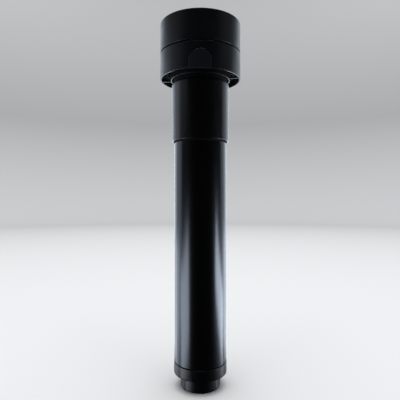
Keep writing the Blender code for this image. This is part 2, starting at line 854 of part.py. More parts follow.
def drive_shaft():
    """Long steel shaft from the cooling fan to the impeller."""
    bottom = (0.0, 0.0, SHAFT_BOTTOM)
    return rod("drive_shaft", SHAFT_RADIUS, bottom, (0.0, 0.0, SHAFT_TOP), STEEL, BOSS_STEPS)


def add_blades(shape, count, reach, size, middle, pitch):
    """Flat blades at a pitch, spread round the Z axis; size is (chord, thickness)."""
    inner, outer = reach
    tilt = Matrix.Rotation(math.radians(pitch), 4, "X")
    place = Matrix.Translation(((inner + outer) / 2.0 * MM, 0.0, middle * MM)) @ tilt
    for i in range(count):
        add_box(shape, (outer - inner, *size), (0.0, 0.0, 0.0), spin(360.0 * i / count) @ place)


def bladed_wheel(name, heights, count, reach, size, pitch, finish):
    """A hub on the shaft with flat blades."""
    hub_radius = 5.5
    part = ring(name, tube_profile(hub_radius, BORE_RADIUS, *heights), finish, BOSS_STEPS)
    join(part, lambda shape: add_blades(shape, count, reach, size, sum(heights) / 2.0, pitch))
    return part


def cooling_fan():
    """Fan on the top of the shaft, just under the power board."""
    return bladed_wheel("cooling_fan", FAN, 7, (4.6, 17.0), (6.0, 1.0), 35.0, COMPONENT)


def impeller():
    """Pump wheel at the foot of the shaft."""
    return bladed_wheel("impeller", IMPELLER, 4, (4.6, 20.5), (10.0, 1.4), 38.0, PUMP_PLASTIC)


def shaft_seal():
    """Lip seal where the shaft passes the neck's plate."""
    profile = tube_profile(6.0, BORE_RADIUS, PLATE_BOTTOM + SEAT, PLATE_TOP + 0.2)
    return ring("shaft_seal", profile, SILICONE, BOSS_STEPS)


def bearing_spider():
    """Three-armed holder of the lower bush, hung from the core rods."""
    bottom, top = SPIDER
    middle = (bottom + top) / 2.0
    rod_seat = bottom + 1.6
    part = ring("bearing_spider", tube_profile(23.4, 21.4, bottom, top), PUMP_PLASTIC)

    def arms(shape):
        add_post(shape, 6.6, 0.0, 0.0, bottom, top, BOSS_STEPS)
        for angle in CORE_ROD_ANGLES:
            add_box(shape, (17.0, 4.4, top - bottom), (14.0, 0.0, middle), spin(angle))
            add_post(shape, 3.0, CORE_ROD_CIRCLE, angle, bottom, top)

    def bores(shape):
        add_post(shape, 4.3, 0.0, 0.0, bottom - 2.0, top + 2.0, BOSS_STEPS)
        for angle in CORE_ROD_ANGLES:
            add_post(shape, CORE_ROD_RADIUS + GAP, CORE_ROD_CIRCLE, angle, rod_seat, top + 2.0)

    join(part, arms)
    cut(part, bores)
    return part


def lower_bush():
    """Bush that steadies the shaft above the impeller."""
    bottom, top = SPIDER
    profile = tube_profile(3.9, BORE_RADIUS, bottom - 1.0, top + 1.0)
    return ring("lower_bush", profile, PUMP_PLASTIC, BOSS_STEPS)


def core_rods():
    """Rods that hang the spider from the neck's plate."""
    for number, angle in enumerate(CORE_ROD_ANGLES, 1):
        start = around(CORE_ROD_CIRCLE, angle, SPIDER[0] + 2.2)
        end = around(CORE_ROD_CIRCLE, angle, CORE_TOP - 1.0)
        rod(f"core_rod_{number}", CORE_ROD_RADIUS, start, end, STEEL)


# ---------------------------------------------------------------- heater and sensors


def heater_coil():
    """Sheathed heater: down from the plate, round in a coil, then back up inside it.

    The coil falls steadily. Under it the tube runs inwards to the return leg's circle while it
    dips by a quarter sine and rises again with the cube of the way.
    """
    bottom, top = COIL
    turns = 5.0
    steps = 60
    dip = 6.0
    rise = 14.0
    inward_steps = 8
    points = [around(HEATER_CIRCLE, 0.0, height) for height in (CORE_TOP, 200.0, 166.0, 157.0)]
    for i in range(steps + 1):
        part = i / steps
        points.append(around(HEATER_CIRCLE, -360.0 * turns * part, top + (bottom - top) * part))
    for i in range(1, inward_steps + 1):
        part = i / inward_steps
        circle = HEATER_CIRCLE + (RETURN_CIRCLE - HEATER_CIRCLE) * part
        angle = (RETURN_ANGLE - 360.0) * (1.0 - (1.0 - part) ** 2)
        height = bottom - dip * math.sin(math.pi * part / 2.0) + rise * part**3
        points.append(around(circle, angle, height))
    points.extend(around(RETURN_CIRCLE, RETURN_ANGLE, height) for height in (84.0, 150.0, CORE_TOP))
    return wire("heater_coil", points, HEATER_RADIUS, STEEL)


def temperature_probe():
    """Thin probe beside the heater."""
    tip = around(SENSOR_CIRCLE, PROBE_ANGLE, 54.0)
    return rod("temperature_probe", PROBE_RADIUS, tip, around(SENSOR_CIRCLE, PROBE_ANGLE, CORE_TOP), STEEL)


def level_electrodes():
    """Two rods of different length that sense the water's level."""
    for number, (angle, tip) in enumerate(ELECTRODES, 1):
        start = around(SENSOR_CIRCLE, angle, tip)
        end = around(SENSOR_CIRCLE, angle, CORE_TOP)
        rod(f"level_electrode_{number}", ELECTRODE_RADIUS, start, end, STEEL)


# ---------------------------------------------------------------- tube, end cap and foot


def skirt_seal():
    """O-ring in the groove of the neck's spigot."""
    thickness = 0.5
    sides = 8
    circle = SPIGOT_RADIUS - 0.4
    height = sum(SEAL_GROOVE) / 2.0
    profile = []
    for i in range(sides):
        angle = -2.0 * math.pi * i / sides
        profile.append((circle + thickness * math.cos(angle), height + thickness * math.sin(angle)))
    return ring("skirt_seal", profile, SILICONE)


def skirt_tube():
    """Stainless tube round the heater, with outlet slots at its back."""
    profile = tube_profile(TUBE_RADIUS, TUBE_BORE, CAP_TOP + GAP, TUBE_TOP)
    part = ring("skirt_tube", profile, DARK_STEEL, OUTER_STEPS)
    straight = SLOT_LENGTH - SLOT_WIDTH

    def slots(shape):
        for height in SLOT_HEIGHTS:
            for angle in SLOT_ANGLES:
                turn = spin(angle)
                add_box(shape, (SLOT_WIDTH, 6.0, straight), (0.0, 25.0, height), turn)
                for end in (height - straight / 2.0, height + straight / 2.0):
                    start = turn @ Vector((0.0, 22.0, end))
                    add_rod(shape, SLOT_WIDTH / 2.0, start, turn @ Vector((0.0, 28.0, end)))

    cut(part, slots)
    return part


def end_cap():
    """Moulded cap pushed into the tube's lower end, with water inlets in its underside."""
    skirt = CAP_RADIUS - 0.1
    bevel = 0.3
    floor_top = CAP_BOTTOM + 2.0
    wide_bore = 24.1
    narrow_bore = SPIGOT_RADIUS - CAP_WALL
    profile = [
        (SPIGOT_RADIUS - EDGE, CAP_SPIGOT_TOP),
        (SPIGOT_RADIUS, CAP_SPIGOT_TOP - EDGE),
        (SPIGOT_RADIUS, CAP_TOP),
        (CAP_RADIUS - bevel, CAP_TOP),
        (CAP_RADIUS, CAP_TOP - bevel),
        (skirt, CAP_BOTTOM + EDGE),
        (skirt - EDGE, CAP_BOTTOM),
        (SCREW_HOLE, CAP_BOTTOM),
        (SCREW_HOLE, floor_top),
        (wide_bore, floor_top),
        (wide_bore, CAP_TOP - 2.2),
        (narrow_bore, CAP_TOP - 0.7),
        (narrow_bore, CAP_SPIGOT_TOP),
    ]
    part = ring("end_cap", profile, SLEEVE_PLASTIC, OUTER_STEPS)

    def inlets(shape):
        for i in range(INLETS):
            turn = spin(360.0 * i / INLETS)
            add_box(shape, (3.0, 6.4, 6.0), (INLET_CIRCLE, 0.0, CAP_BOTTOM + 1.0), turn)

    cut(part, inlets)
    return part


def foot():
    """Narrow foot under the end cap: a cup for the magnet, recessed below for the pad."""
    cup_floor = 5.4
    cup_radius = 17.0
    boss_radius = 4.2
    pilot_bottom = 6.4
    recess_radius = PAD_RADIUS + GAP
    recess_top = PAD_TOP + GAP
    profile = [
        (0.0, pilot_bottom),
        (PILOT_HOLE, pilot_bottom),
        (PILOT_HOLE, FOOT_TOP),
        (boss_radius, FOOT_TOP),
        (boss_radius, cup_floor),
        (cup_radius, cup_floor),
        (cup_radius, FOOT_TOP),
        (FOOT_RADIUS, FOOT_TOP),
        (FOOT_RADIUS, FOOT_BOTTOM + 1.3),
        (FOOT_RADIUS - 0.3, FOOT_BOTTOM + 0.5),
        (FOOT_RADIUS - 1.0, FOOT_BOTTOM),
        (recess_radius, FOOT_BOTTOM),
        (recess_radius, recess_top),
        (0.0, recess_top),
    ]
    return spindle("foot", profile, SLEEVE_PLASTIC, OUTER_STEPS)


def foot_pad():
    """Silicone disc that the circulator stands on."""
    profile = [
        (0.0, PAD_TOP),
        (PAD_RADIUS, PAD_TOP),
        (PAD_RADIUS, EDGE),
        (PAD_RADIUS - EDGE, 0.0),
        (0.0, 0.0),
    ]
    return spindle("foot_pad", profile, SILICONE)


def foot_magnet():
    """Ring magnet in the foot, which holds it to a steel pot."""
    return ring("foot_magnet", tube_profile(15.5, 6.0, 5.8, 12.0), MAGNET)


def foot_screw():
    """Screw from inside the end cap into the foot's boss."""
    seat = (0.0, 0.0, CAP_BOTTOM + 2.0 + SEAT)
    return machine_screw("foot_screw", seat, (0, 0, -1), *FOOT_SCREW)


def build():
    lower_housing()
    display_window()
    display_module()
    inner_frame()
    dial_ring()
    dial_magnet_ring()
    top_cap()
    start_button()
    button_spring()
    button_switch()
    control_board()
    power_board()
    board_parts()
    cable_gland()
    frame_screws()
    neck_screws()
    neck_core()
    neck_sleeve()
    clip_bracket()
    clip_pin()
    clip_spring()
    clip_arm()
    clip_pad()
    bracket_screws()
    motor_bracket()
    motor_can()
    stator_magnet()
    motor_rotor()
    drive_shaft()
    cooling_fan()
    impeller()
    shaft_seal()
    bearing_spider()
    lower_bush()
    core_rods()
    heater_coil()
    temperature_probe()
    level_electrodes()
    skirt_seal()
    skirt_tube()
    end_cap()
    foot()
    foot_pad()
    foot_magnet()
    foot_screw()


build()
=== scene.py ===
"""Looks of the sous vide circulator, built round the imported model. Metres, +Z up, front at -Y."""

import json
import math

import bmesh
import bpy
import numpy as np
from mathutils import Matrix, Vector


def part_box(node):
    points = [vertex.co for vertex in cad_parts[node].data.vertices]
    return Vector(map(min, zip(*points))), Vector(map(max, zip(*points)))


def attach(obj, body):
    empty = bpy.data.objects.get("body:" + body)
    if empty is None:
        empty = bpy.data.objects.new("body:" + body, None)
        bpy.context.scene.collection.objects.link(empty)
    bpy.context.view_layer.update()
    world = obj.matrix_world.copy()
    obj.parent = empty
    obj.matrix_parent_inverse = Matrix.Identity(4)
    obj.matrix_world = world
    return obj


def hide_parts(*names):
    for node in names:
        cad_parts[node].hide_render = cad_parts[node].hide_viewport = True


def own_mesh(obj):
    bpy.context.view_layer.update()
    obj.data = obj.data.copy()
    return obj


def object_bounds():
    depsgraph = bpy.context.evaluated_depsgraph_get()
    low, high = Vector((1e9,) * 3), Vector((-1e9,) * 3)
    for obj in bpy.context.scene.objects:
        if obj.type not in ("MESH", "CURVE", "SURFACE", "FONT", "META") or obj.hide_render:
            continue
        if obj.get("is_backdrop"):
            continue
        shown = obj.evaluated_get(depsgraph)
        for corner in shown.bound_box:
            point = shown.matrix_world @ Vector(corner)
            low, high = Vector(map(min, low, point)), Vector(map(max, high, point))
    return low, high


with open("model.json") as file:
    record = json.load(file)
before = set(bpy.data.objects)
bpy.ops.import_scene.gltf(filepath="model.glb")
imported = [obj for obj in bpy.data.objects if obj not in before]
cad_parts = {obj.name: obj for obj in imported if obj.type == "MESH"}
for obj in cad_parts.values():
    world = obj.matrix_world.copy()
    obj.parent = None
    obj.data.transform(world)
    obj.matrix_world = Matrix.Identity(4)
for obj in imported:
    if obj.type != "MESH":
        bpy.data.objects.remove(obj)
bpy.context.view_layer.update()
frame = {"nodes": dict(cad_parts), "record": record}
mm = 0.001


# ---------------------------------------------------------------- camera
# A level camera a little over half way up the circulator, close enough that the head is seen
# from below and the foot from above.
lens_mm = 34.1
sensor_mm = 36.0
camera_distance = 372.8 * mm
camera_height = 182.6 * mm
lens_shift = (-0.0008, -0.0035)

camera_data = bpy.data.cameras.new("camera")
camera_data.lens = lens_mm
camera_data.sensor_width = sensor_mm
camera_data.shift_x, camera_data.shift_y = lens_shift
camera = bpy.data.objects.new("camera", camera_data)
camera.location = (0.0, -camera_distance, camera_height)
camera.rotation_euler = (math.radians(90.0), 0.0, 0.0)
bpy.context.scene.collection.objects.link(camera)
bpy.context.scene.camera = camera


# ---------------------------------------------------------------- studio
# A round sweep of pale matt card: a floor that bends up into a wall on every side. It takes
# light and shadow but gives none back, so the gloss of the black surfaces is drawn by the
# softboxes alone: a tall one behind, others at the sides and low ones for the tube.
floor_radius = 2.4
sweep_bend = 0.9
sweep_height = 3.4
sharp_angle = math.radians(35.0)


def linear(colour):
    """Linear red, green and blue of an sRGB hex colour: the sRGB curve undone channel by channel."""
    channels = [int(colour[i : i + 2], 16) / 255.0 for i in (1, 3, 5)]
    return tuple(c / 12.92 if c <= 0.04045 else ((c + 0.055) / 1.055) ** 2.4 for c in channels)


def add(tree, kind, settings=None, inputs=None):
    """Adds a node: settings are its own properties, inputs are sockets' values or what feeds them."""
    node = tree.nodes.new(kind)
    for name, value in (settings or {}).items():
        setattr(node, name, value)
    for socket, value in (inputs or {}).items():
        if isinstance(value, bpy.types.NodeSocket):
            tree.links.new(value, node.inputs[socket])
        else:
            node.inputs[socket].default_value = value
    return node


def surface(name, colour, roughness, metallic=0.0, **more):
    """A Principled material: returns it with its tree, its shader and its object coordinates."""
    made = bpy.data.materials.new(name)
    made.use_nodes = True
    shader = made.node_tree.nodes["Principled BSDF"]
    shader.inputs["Base Color"].default_value = (*linear(colour), 1.0)
    shader.inputs["Roughness"].default_value = roughness
    shader.inputs["Metallic"].default_value = metallic
    for socket, value in more.items():
        shader.inputs[socket.replace("_", " ")].default_value = value
    coords = add(made.node_tree, "ShaderNodeTexCoord")
    return made, made.node_tree, shader, coords.outputs["Object"]


def grid_mesh(name, grids, wrap=(False, True)):
    """A mesh from grids of points, each of shape (rows, columns, 3).

    Neighbouring points are joined by four-sided faces. wrap says whether the last row joins
    the first, and the last column the first. Points that coincide, as at a pole, are merged.
    """
    points = []
    faces = []
    start = 0
    for grid in grids:
        rows, columns = grid.shape[:2]
        index = start + np.arange(rows * columns).reshape(rows, columns)
        if wrap[0]:
            index = np.vstack([index, index[:1]])
        if wrap[1]:
            index = np.hstack([index, index[:, :1]])
        quads = np.stack([index[:-1, :-1], index[1:, :-1], index[1:, 1:], index[:-1, 1:]], axis=-1)
        points.append(grid.reshape(-1, 3))
        faces.append(quads.reshape(-1, 4))
        start += rows * columns
    mesh = bpy.data.meshes.new(name)
    mesh.from_pydata(np.concatenate(points).tolist(), [], np.concatenate(faces).tolist())
    shape = bmesh.new()
    shape.from_mesh(mesh)
    bmesh.ops.remove_doubles(shape, verts=shape.verts, dist=1e-7)
    bmesh.ops.recalc_face_normals(shape, faces=shape.faces)
    shape.to_mesh(mesh)
    shape.free()
    mesh.shade_smooth()
    mesh.set_sharp_from_angle(angle=sharp_angle)
    return mesh


def piece(name, mesh, material):
    """An object at the origin that shows the mesh."""
    made = bpy.data.objects.new(name, mesh)
    mesh.materials.clear()
    mesh.materials.append(material)
    bpy.context.scene.collection.objects.link(made)
    return made


def formed(name, grids, material, wrap=(False, True)):
    """A piece whose mesh is made from grids of points."""
    return piece(name, grid_mesh(name, grids, wrap), material)


def sweep_points():
    """Floor, quarter circle and wall: a profile that is turned round the Z axis."""
    angle = np.linspace(0.0, math.pi / 2.0, 24)
    radius = np.concatenate([[0.0], floor_radius + sweep_bend * np.sin(angle), [floor_radius + sweep_bend]])
    height = np.concatenate([[0.0], sweep_bend * (1.0 - np.cos(angle)), [sweep_height]])
    turn = np.linspace(0.0, 2.0 * math.pi, 96, endpoint=False)
    grid = np.empty((len(radius), len(turn), 3))
    grid[..., 0] = radius[:, None] * np.cos(turn)
    grid[..., 1] = radius[:, None] * np.sin(turn)
    grid[..., 2] = height[:, None]
    return grid


# Uncoated card: dull, with a felt of fibres about 1.4 mm apart, drawn coarser than they are.
card, tree, shader, where = surface("matt_card", "#DADCDE", 0.85)
fibre = add(tree, "ShaderNodeTexNoise", None, {"Vector": where, "Scale": 700.0})
lift = add(tree, "ShaderNodeBump", None, {"Height": fibre.outputs["Fac"], "Strength": 0.04})
tree.links.new(lift.outputs["Normal"], shader.inputs["Normal"])
sweep = formed("sweep", [sweep_points()], card)
sweep.data.flip_normals()
sweep.visible_diffuse = False
sweep.visible_glossy = False
sweep.visible_shadow = False
sweep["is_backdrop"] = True
off_card = bpy.data.collections.new("off_card")
off_card.objects.link(sweep)
off_card.collection_objects[0].light_linking.link_state = "EXCLUDE"
on_card = bpy.data.collections.new("on_card")
on_card.objects.link(sweep)


def softbox(name, azimuth, height, distance, size, radiance, roll=0.0):
    """A rectangular softbox that faces the object's axis and lights everything but the card.

    azimuth is in degrees from the front, to the right. The power is the radiance times pi
    times the area.
    """
    data = bpy.data.lights.new(name, "AREA")
    data.shape = "RECTANGLE"
    data.size, data.size_y = size
    data.energy = radiance * math.pi * size[0] * size[1]
    data.color = linear("#E6F1FF")
    light = bpy.data.objects.new(name, data)
    swing = math.radians(azimuth)
    light.location = (distance * math.sin(swing), -distance * math.cos(swing), height)
    light.rotation_euler = (math.radians(90.0), math.radians(roll), swing)
    light.visible_camera = False
    light.light_linking.receiver_collection = off_card
    bpy.context.scene.collection.objects.link(light)
    return light


softbox("back_box", 180.0, 0.55, 1.1, (0.75, 1.9), 3.2)
softbox("back_left_box", -142.0, 0.35, 1.0, (0.6, 1.5), 1.8)
softbox("back_right_box", 142.0, 0.35, 1.0, (0.6, 1.5), 1.7)
softbox("left_box", -107.0, 0.22, 1.0, (0.62, 1.04), 1.0)
softbox("left_fill_box", -72.0, 0.68, 1.0, (0.7, 0.45), 0.3)
softbox("right_fill_box", 75.0, 0.88, 1.0, (0.6, 0.45), 0.24)
softbox("right_box", 113.0, 0.22, 1.0, (0.42, 1.04), 0.95)
softbox("left_low_box", -72.0, -0.155, 0.8, (0.64, 0.35), 5.0, -12.0)
softbox("left_low_side_box", -118.0, -0.15, 0.8, (0.5, 0.4), 2.0)
softbox("right_low_box", 92.0, -0.11, 0.8, (0.72, 0.22), 9.0, 20.0)
softbox("right_low_side_box", 128.0, -0.09, 0.8, (0.4, 0.34), 1.9)
# Two boxes hang overhead and face down. The second is white and lights the card alone.
top_box = softbox("top_box", 180.0, 1.6, 0.01, (0.9, 0.9), 3.0)
top_box.rotation_euler = (0.0, 0.0, 0.0)
card_box = softbox("card_box", 0.0, 3.2, 0.01, (4.6, 4.6), 3.2)
card_box.rotation_euler = (0.0, 0.0, 0.0)
card_box.data.color = (1.0, 1.0, 1.0)
card_box.light_linking.receiver_collection = on_card

world = bpy.data.worlds.new("studio")
world.use_nodes = True
bpy.context.scene.world = world
background = world.node_tree.nodes["Background"]
background.inputs["Color"].default_value = (*linear("#C8CCD2"), 1.0)
background.inputs["Strength"].default_value = 0.02
bpy.context.scene.view_settings.view_transform = "Standard"


# ---------------------------------------------------------------- dial ring
# The upper ring of the head, which turns to set the temperature. It is injection moulded in
# black ABS in a spark-eroded tool, so it has a fine even grain, and its lip is held down by
# the rim of the top plate.
dial_low, dial_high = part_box("dial_ring")
frame_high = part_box("inner_frame")[1]
plate_low, plate_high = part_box("top_cap")
magnet_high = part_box("dial_magnet_ring")[1]
head_radius = dial_high[0]
head_top = dial_high[2]
clear = 0.4 * mm
fine = 256


def outline(corners, steps=6, closed=True):
    """Rounds the corners of a profile of (radius, height, fillet).

    Each arc touches the corner's two sides at fillet / tan(half the corner's angle) from it
    and turns about a point on its bisector. A guard point follows the arc on each side, so
    that the shading of a long side stays even.
    """
    places = np.array([corner[:2] for corner in corners], dtype=float)
    points = []
    for i, (_, _, fillet) in enumerate(corners):
        here = places[i]
        if not closed and i in (0, len(corners) - 1):
            points.append(here)
            continue
        before = places[i - 1] - here
        after = places[(i + 1) % len(places)] - here
        room = 0.45 * min(np.linalg.norm(before), np.linalg.norm(after))
        before /= np.linalg.norm(before)
        after /= np.linalg.norm(after)
        half = math.acos(np.clip(before @ after, -1.0, 1.0)) / 2.0
        if fillet <= 0.0 or half > 1.55:
            points.append(here)
            continue
        reach = min(fillet / math.tan(half), room)
        radius = reach * math.tan(half)
        bisector = (before + after) / np.linalg.norm(before + after)
        centre = here + bisector * radius / math.sin(half)
        start = here + before * reach - centre
        end = here + after * reach - centre
        first = math.atan2(start[1], start[0])
        sweep_angle = (math.atan2(end[1], end[0]) - first + math.pi) % (2.0 * math.pi) - math.pi
        turn = first + sweep_angle * np.linspace(0.0, 1.0, steps)
        arc = centre + radius * np.stack([np.cos(turn), np.sin(turn)], axis=1)
        guard = min(0.35 * mm, 0.1 * room)
        points.append(arc[0] + before * guard)
        points.extend(arc)
        points.append(arc[-1] + after * guard)
    return np.array(points)


def lathe(profile, segments=fine, axis="Z", centre=(0.0, 0.0, 0.0)):
    """Points of a profile of (radius, height) turned round an axis through the centre."""
    turn = np.linspace(0.0, 2.0 * math.pi, segments, endpoint=False)
    radius = profile[:, :1]
    across = radius * np.cos(turn)
    over = radius * np.sin(turn)
    along = np.repeat(profile[:, 1:], segments, axis=1)
    order = {"Z": (across, over, along), "Y": (over, along, across), "X": (along, across, over)}[axis]
    return np.stack(order, axis=-1) + np.array(centre)


def turned(name, corners, material, segments=fine, closed=True, axis="Z", centre=(0.0, 0.0, 0.0)):
    """A piece turned from a rounded profile. A profile that isn't closed ends on the axis."""
    grid = lathe(outline(corners, closed=closed), segments, axis, centre)
    return formed(name, [grid], material, (closed, True))


def fine_grain(tree, shader, where, scale, strength, **noise):
    """A bump from fine noise, 0.05 mm high at full strength. scale is in specks per metre."""
    speck = add(tree, "ShaderNodeTexNoise", None, {"Vector": where, "Scale": scale, **noise})
    relief = {"Height": speck.outputs["Fac"], "Strength": strength, "Distance": 0.05 * mm}
    lift = add(tree, "ShaderNodeBump", None, relief)
    tree.links.new(lift.outputs["Normal"], shader.inputs["Normal"])


def uneven_gloss(tree, shader, where, scale, detail, noise_range, roughness_range):
    """Noise that moves the roughness: the first range of it is spread over the second."""
    patches = add(tree, "ShaderNodeTexNoise", None, {"Vector": where, "Scale": scale, "Detail": detail})
    limits = dict(zip(("From Min", "From Max", "To Min", "To Max"), (*noise_range, *roughness_range)))
    gloss = add(tree, "ShaderNodeMapRange", None, {"Value": patches.outputs["Fac"], **limits})
    tree.links.new(gloss.outputs["Result"], shader.inputs["Roughness"])


# Spark-eroded ABS: satin, with a grain of about 0.1 mm that is drawn at 0.3 mm so that it
# shows, and a slow change of gloss, over 17 mm, from the tool's polish and from handling.
head_plastic, tree, shader, where = surface("moulded_abs_spark_grain", "#0C0D0F", 0.4, IOR=1.53)
fine_grain(tree, shader, where, 1.0 / (0.3 * mm), 0.12, Detail=2.0, Roughness=0.6)
uneven_gloss(tree, shader, where, 60.0, 3.0, (0.3, 0.7), (0.36, 0.44))

dial_bore = frame_high[0] + clear
magnet_seat = magnet_high[0] + clear
lip_bore = dial_bore - 2.8 * mm
lip_low = frame_high[2] + clear
lip_high = lip_low + 1.2 * mm
dial = turned(
    "dial_shell",
    [
        (head_radius, head_top, 0.6 * mm),
        (head_radius, dial_low[2], 0.4 * mm),
        (magnet_seat, dial_low[2], 0.3 * mm),
        (magnet_seat, magnet_high[2] + 2.0 * mm, 0.4 * mm),
        (dial_bore, magnet_high[2] + 3.0 * mm, 0.4 * mm),
        (dial_bore, lip_low, 0.0),
        (lip_bore, lip_low, 0.2 * mm),
        (lip_bore, lip_high, 0.2 * mm),
        (plate_high[0] + clear, lip_high, 0.0),
        (plate_high[0] + clear, head_top, 0.35 * mm),
    ],
    head_plastic,
)
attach(dial, "dial")
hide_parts("dial_ring")


# ---------------------------------------------------------------- lower shell
# The fixed lower ring of the head, moulded in the same ABS. Its thin rim hangs round a recess whose
# deck has vents for the motor's warm air, and a collar stands round the neck. The recess is darkened with
# painted shade.
shell_low, shell_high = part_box("lower_housing")
sleeve_low, sleeve_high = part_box("neck_sleeve")
shell_bore = head_radius - 2.5 * mm
rim_bore = head_radius - 1.2 * mm
deck_low = 303.0 * mm
deck_high = 305.0 * mm
deck_bore = 21.0 * mm
collar_radius = sleeve_high[0] + 1.0 * mm
collar_bore = collar_radius - 1.0 * mm
collar_low = shell_low[2]
rim_low = collar_low + 0.7 * mm
crown_rise = 0.9  # height of the window's crown for each unit of its half width


def carve(target, cutters, operation="DIFFERENCE"):
    """Cuts closed meshes out of a piece, or joins them to it, and keeps the result as its mesh."""
    tools = []
    for number, mesh in enumerate(cutters):
        tool = bpy.data.objects.new(f"cutter_{number}", mesh)
        bpy.context.scene.collection.objects.link(tool)
        cut = target.modifiers.new("Cut", "BOOLEAN")
        cut.operation = operation
        cut.solver = "EXACT"
        cut.object = tool
        tools.append(tool)
    graph = bpy.context.evaluated_depsgraph_get()
    result = bpy.data.meshes.new_from_object(target.evaluated_get(graph))
    target.modifiers.clear()
    old = target.data
    name = old.name
    target.data = result
    bpy.data.meshes.remove(old)
    result.name = name
    result.set_sharp_from_angle(angle=sharp_angle)
    for tool in tools:
        spent = tool.data
        bpy.data.objects.remove(tool)
        bpy.data.meshes.remove(spent)


def prism(name, flat, low, high):
    """A closed prism: an outline of (a, b) points carried from one height to the other.

    flat is counter-clockwise. The ends are closed by fans to the outline's centre.
    """
    centre = flat.mean(axis=0)
    rings = [np.tile(centre, (len(flat), 1)), flat, flat, np.tile(centre, (len(flat), 1))]
    heights = [low, low, high, high]
    grid = np.stack([np.column_stack([ring, np.full(len(flat), h)]) for ring, h in zip(rings, heights)])
    return grid_mesh(name, [grid])


def placed(mesh, matrix):
    """The mesh, moved by a matrix."""
    mesh.transform(matrix)
    return mesh


def stadium(length, width, steps=12):
    """Outline of a slot with round ends, along the first axis: two half circles joined."""
    turn = np.linspace(-math.pi / 2.0, math.pi / 2.0, steps)
    right = np.stack([np.cos(turn), np.sin(turn)], axis=1) * width / 2.0
    right[:, 0] += (length - width) / 2.0
    return np.concatenate([right, -right])


def circle(radius, steps=32):
    """Outline of a circle."""
    turn = np.linspace(0.0, 2.0 * math.pi, steps, endpoint=False)
    return radius * np.stack([np.cos(turn), np.sin(turn)], axis=1)


def arch(half_width, low, high, steps=32):
    """Outline of an upright arch: straight sides under half an ellipse."""
    spring = high - half_width * crown_rise
    turn = np.linspace(0.0, math.pi, steps)
    crown = np.stack([half_width * np.cos(turn), spring + (high - spring) * np.sin(turn)], axis=1)
    return np.concatenate([[(half_width, low)], crown, [(-half_width, low)]])


def around(angle, radius):
    """Where a shape goes at a radius from the Z axis, turned with the angle in degrees."""
    return Matrix.Rotation(math.radians(angle), 4, "Z") @ Matrix.Translation((radius, 0.0, 0.0))


# Matt nylon, as it comes from a coarsely eroded tool, with a grain of 0.4 mm: it hardly shines.
# The recess has the same coarse texture. Laid on the recess and on the ring at the sleeve's lip, its
# near-black, dull look is painted shade.
core_plastic, tree, shader, where = surface("matt_nylon_and_painted_shade", "#050506", 0.85, IOR=1.5, Specular_IOR_Level=0.2)
fine_grain(tree, shader, where, 1.0 / (0.4 * mm), 0.15)

shell = turned(
    "lower_shell",
    [
        (head_radius, shell_high[2], 0.45 * mm),
        (head_radius, rim_low, 0.35 * mm),
        (rim_bore, rim_low, 0.25 * mm),
        (shell_bore, deck_low, 0.8 * mm),
        (collar_radius, deck_low, 0.8 * mm),
        (collar_radius, collar_low, 0.3 * mm),
        (collar_bore, collar_low, 0.3 * mm),
        (collar_bore, deck_low, 0.3 * mm),
        (deck_bore, deck_low, 0.2 * mm),
        (deck_bore, deck_high, 0.2 * mm),
        (shell_bore, deck_high, 0.5 * mm),
        (shell_bore, shell_high[2], 0.3 * mm),
    ],
    head_plastic,
)

window_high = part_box("display_window")[1]
window_half = window_high[0]
window_gap = 0.3 * mm
gland_low, gland_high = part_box("cable_gland")
gland_height = (gland_low[2] + gland_high[2]) / 2.0
gland_radius = gland_high[0]
gland_hole = 5.1 * mm
past_wall = 41.0 * mm
to_front = Matrix.Rotation(math.radians(90.0), 4, "X")
to_back = Matrix.Rotation(math.radians(-90.0), 4, "X")
to_gland = Matrix.Translation((0.0, 0.0, gland_height)) @ to_back
quarter_turn = Matrix.Rotation(math.radians(90.0), 4, "Z")
vent_circle = 30.6 * mm
vent_slot = (5.4 * mm, 1.6 * mm)
vent_angles = [quarter + offset for quarter in (0, 90, 180, 270) for offset in (-18, 0, 18)]
screw_circle = 32.6 * mm
screw_hole = 1.7 * mm
screw_angles = (45, 135, 225, 315)

aperture = arch(window_half + window_gap, rim_low - 2.0 * mm, window_high[2] + window_gap)
through_front = Matrix.Translation((0.0, 0.0, 36.0 * mm)) @ Matrix.Diagonal((1.0, 1.0, 6.0 * mm, 1.0))
openings = [
    placed(prism("aperture", aperture, 0.0, 1.0), to_front @ through_front),
    placed(prism("gland_hole", circle(gland_hole), 35.0 * mm, past_wall), to_gland),
    placed(prism("gland_seat", circle(gland_radius + clear, 64), 37.7 * mm, past_wall), to_gland),
]
for angle in vent_angles:
    vent = prism("vent", stadium(*vent_slot), deck_low - 1.5 * mm, deck_high + 1.0 * mm)
    openings.append(placed(vent, around(angle, vent_circle) @ quarter_turn))
for angle in screw_angles:
    hole = prism("hole", circle(screw_hole), deck_low - 1.0 * mm, deck_high + 1.0 * mm)
    openings.append(placed(hole, around(angle, screw_circle)))
carve(shell, openings)

# The recess's faces lie between the rim and the deck, inside the rim. They take the matt nylon, whose
# darker, duller look paints the shade in the recess.
middles = np.empty(3 * len(shell.data.polygons))
shell.data.polygons.foreach_get("center", middles)
middles = middles.reshape(-1, 3)
away = np.hypot(middles[:, 0], middles[:, 1])
level = middles[:, 2]
recess_shade_mask = (level > rim_low + 0.4 * mm) & (level < deck_low + 0.1 * mm) & (away < rim_bore)
shell.data.materials.append(core_plastic)
shell.data.polygons.foreach_set("material_index", recess_shade_mask.astype(np.int32))
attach(shell, "housing")
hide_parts("lower_housing")


# ---------------------------------------------------------------- recess spokes
# Slim bars moulded across the recess, from the collar to the rim, which keep fingers out of
# the vents.
spoke_angles = (-13, 52, 128, 173)
spoke_half = 0.8 * mm
spoke_middle = rim_low + 1.0 * mm


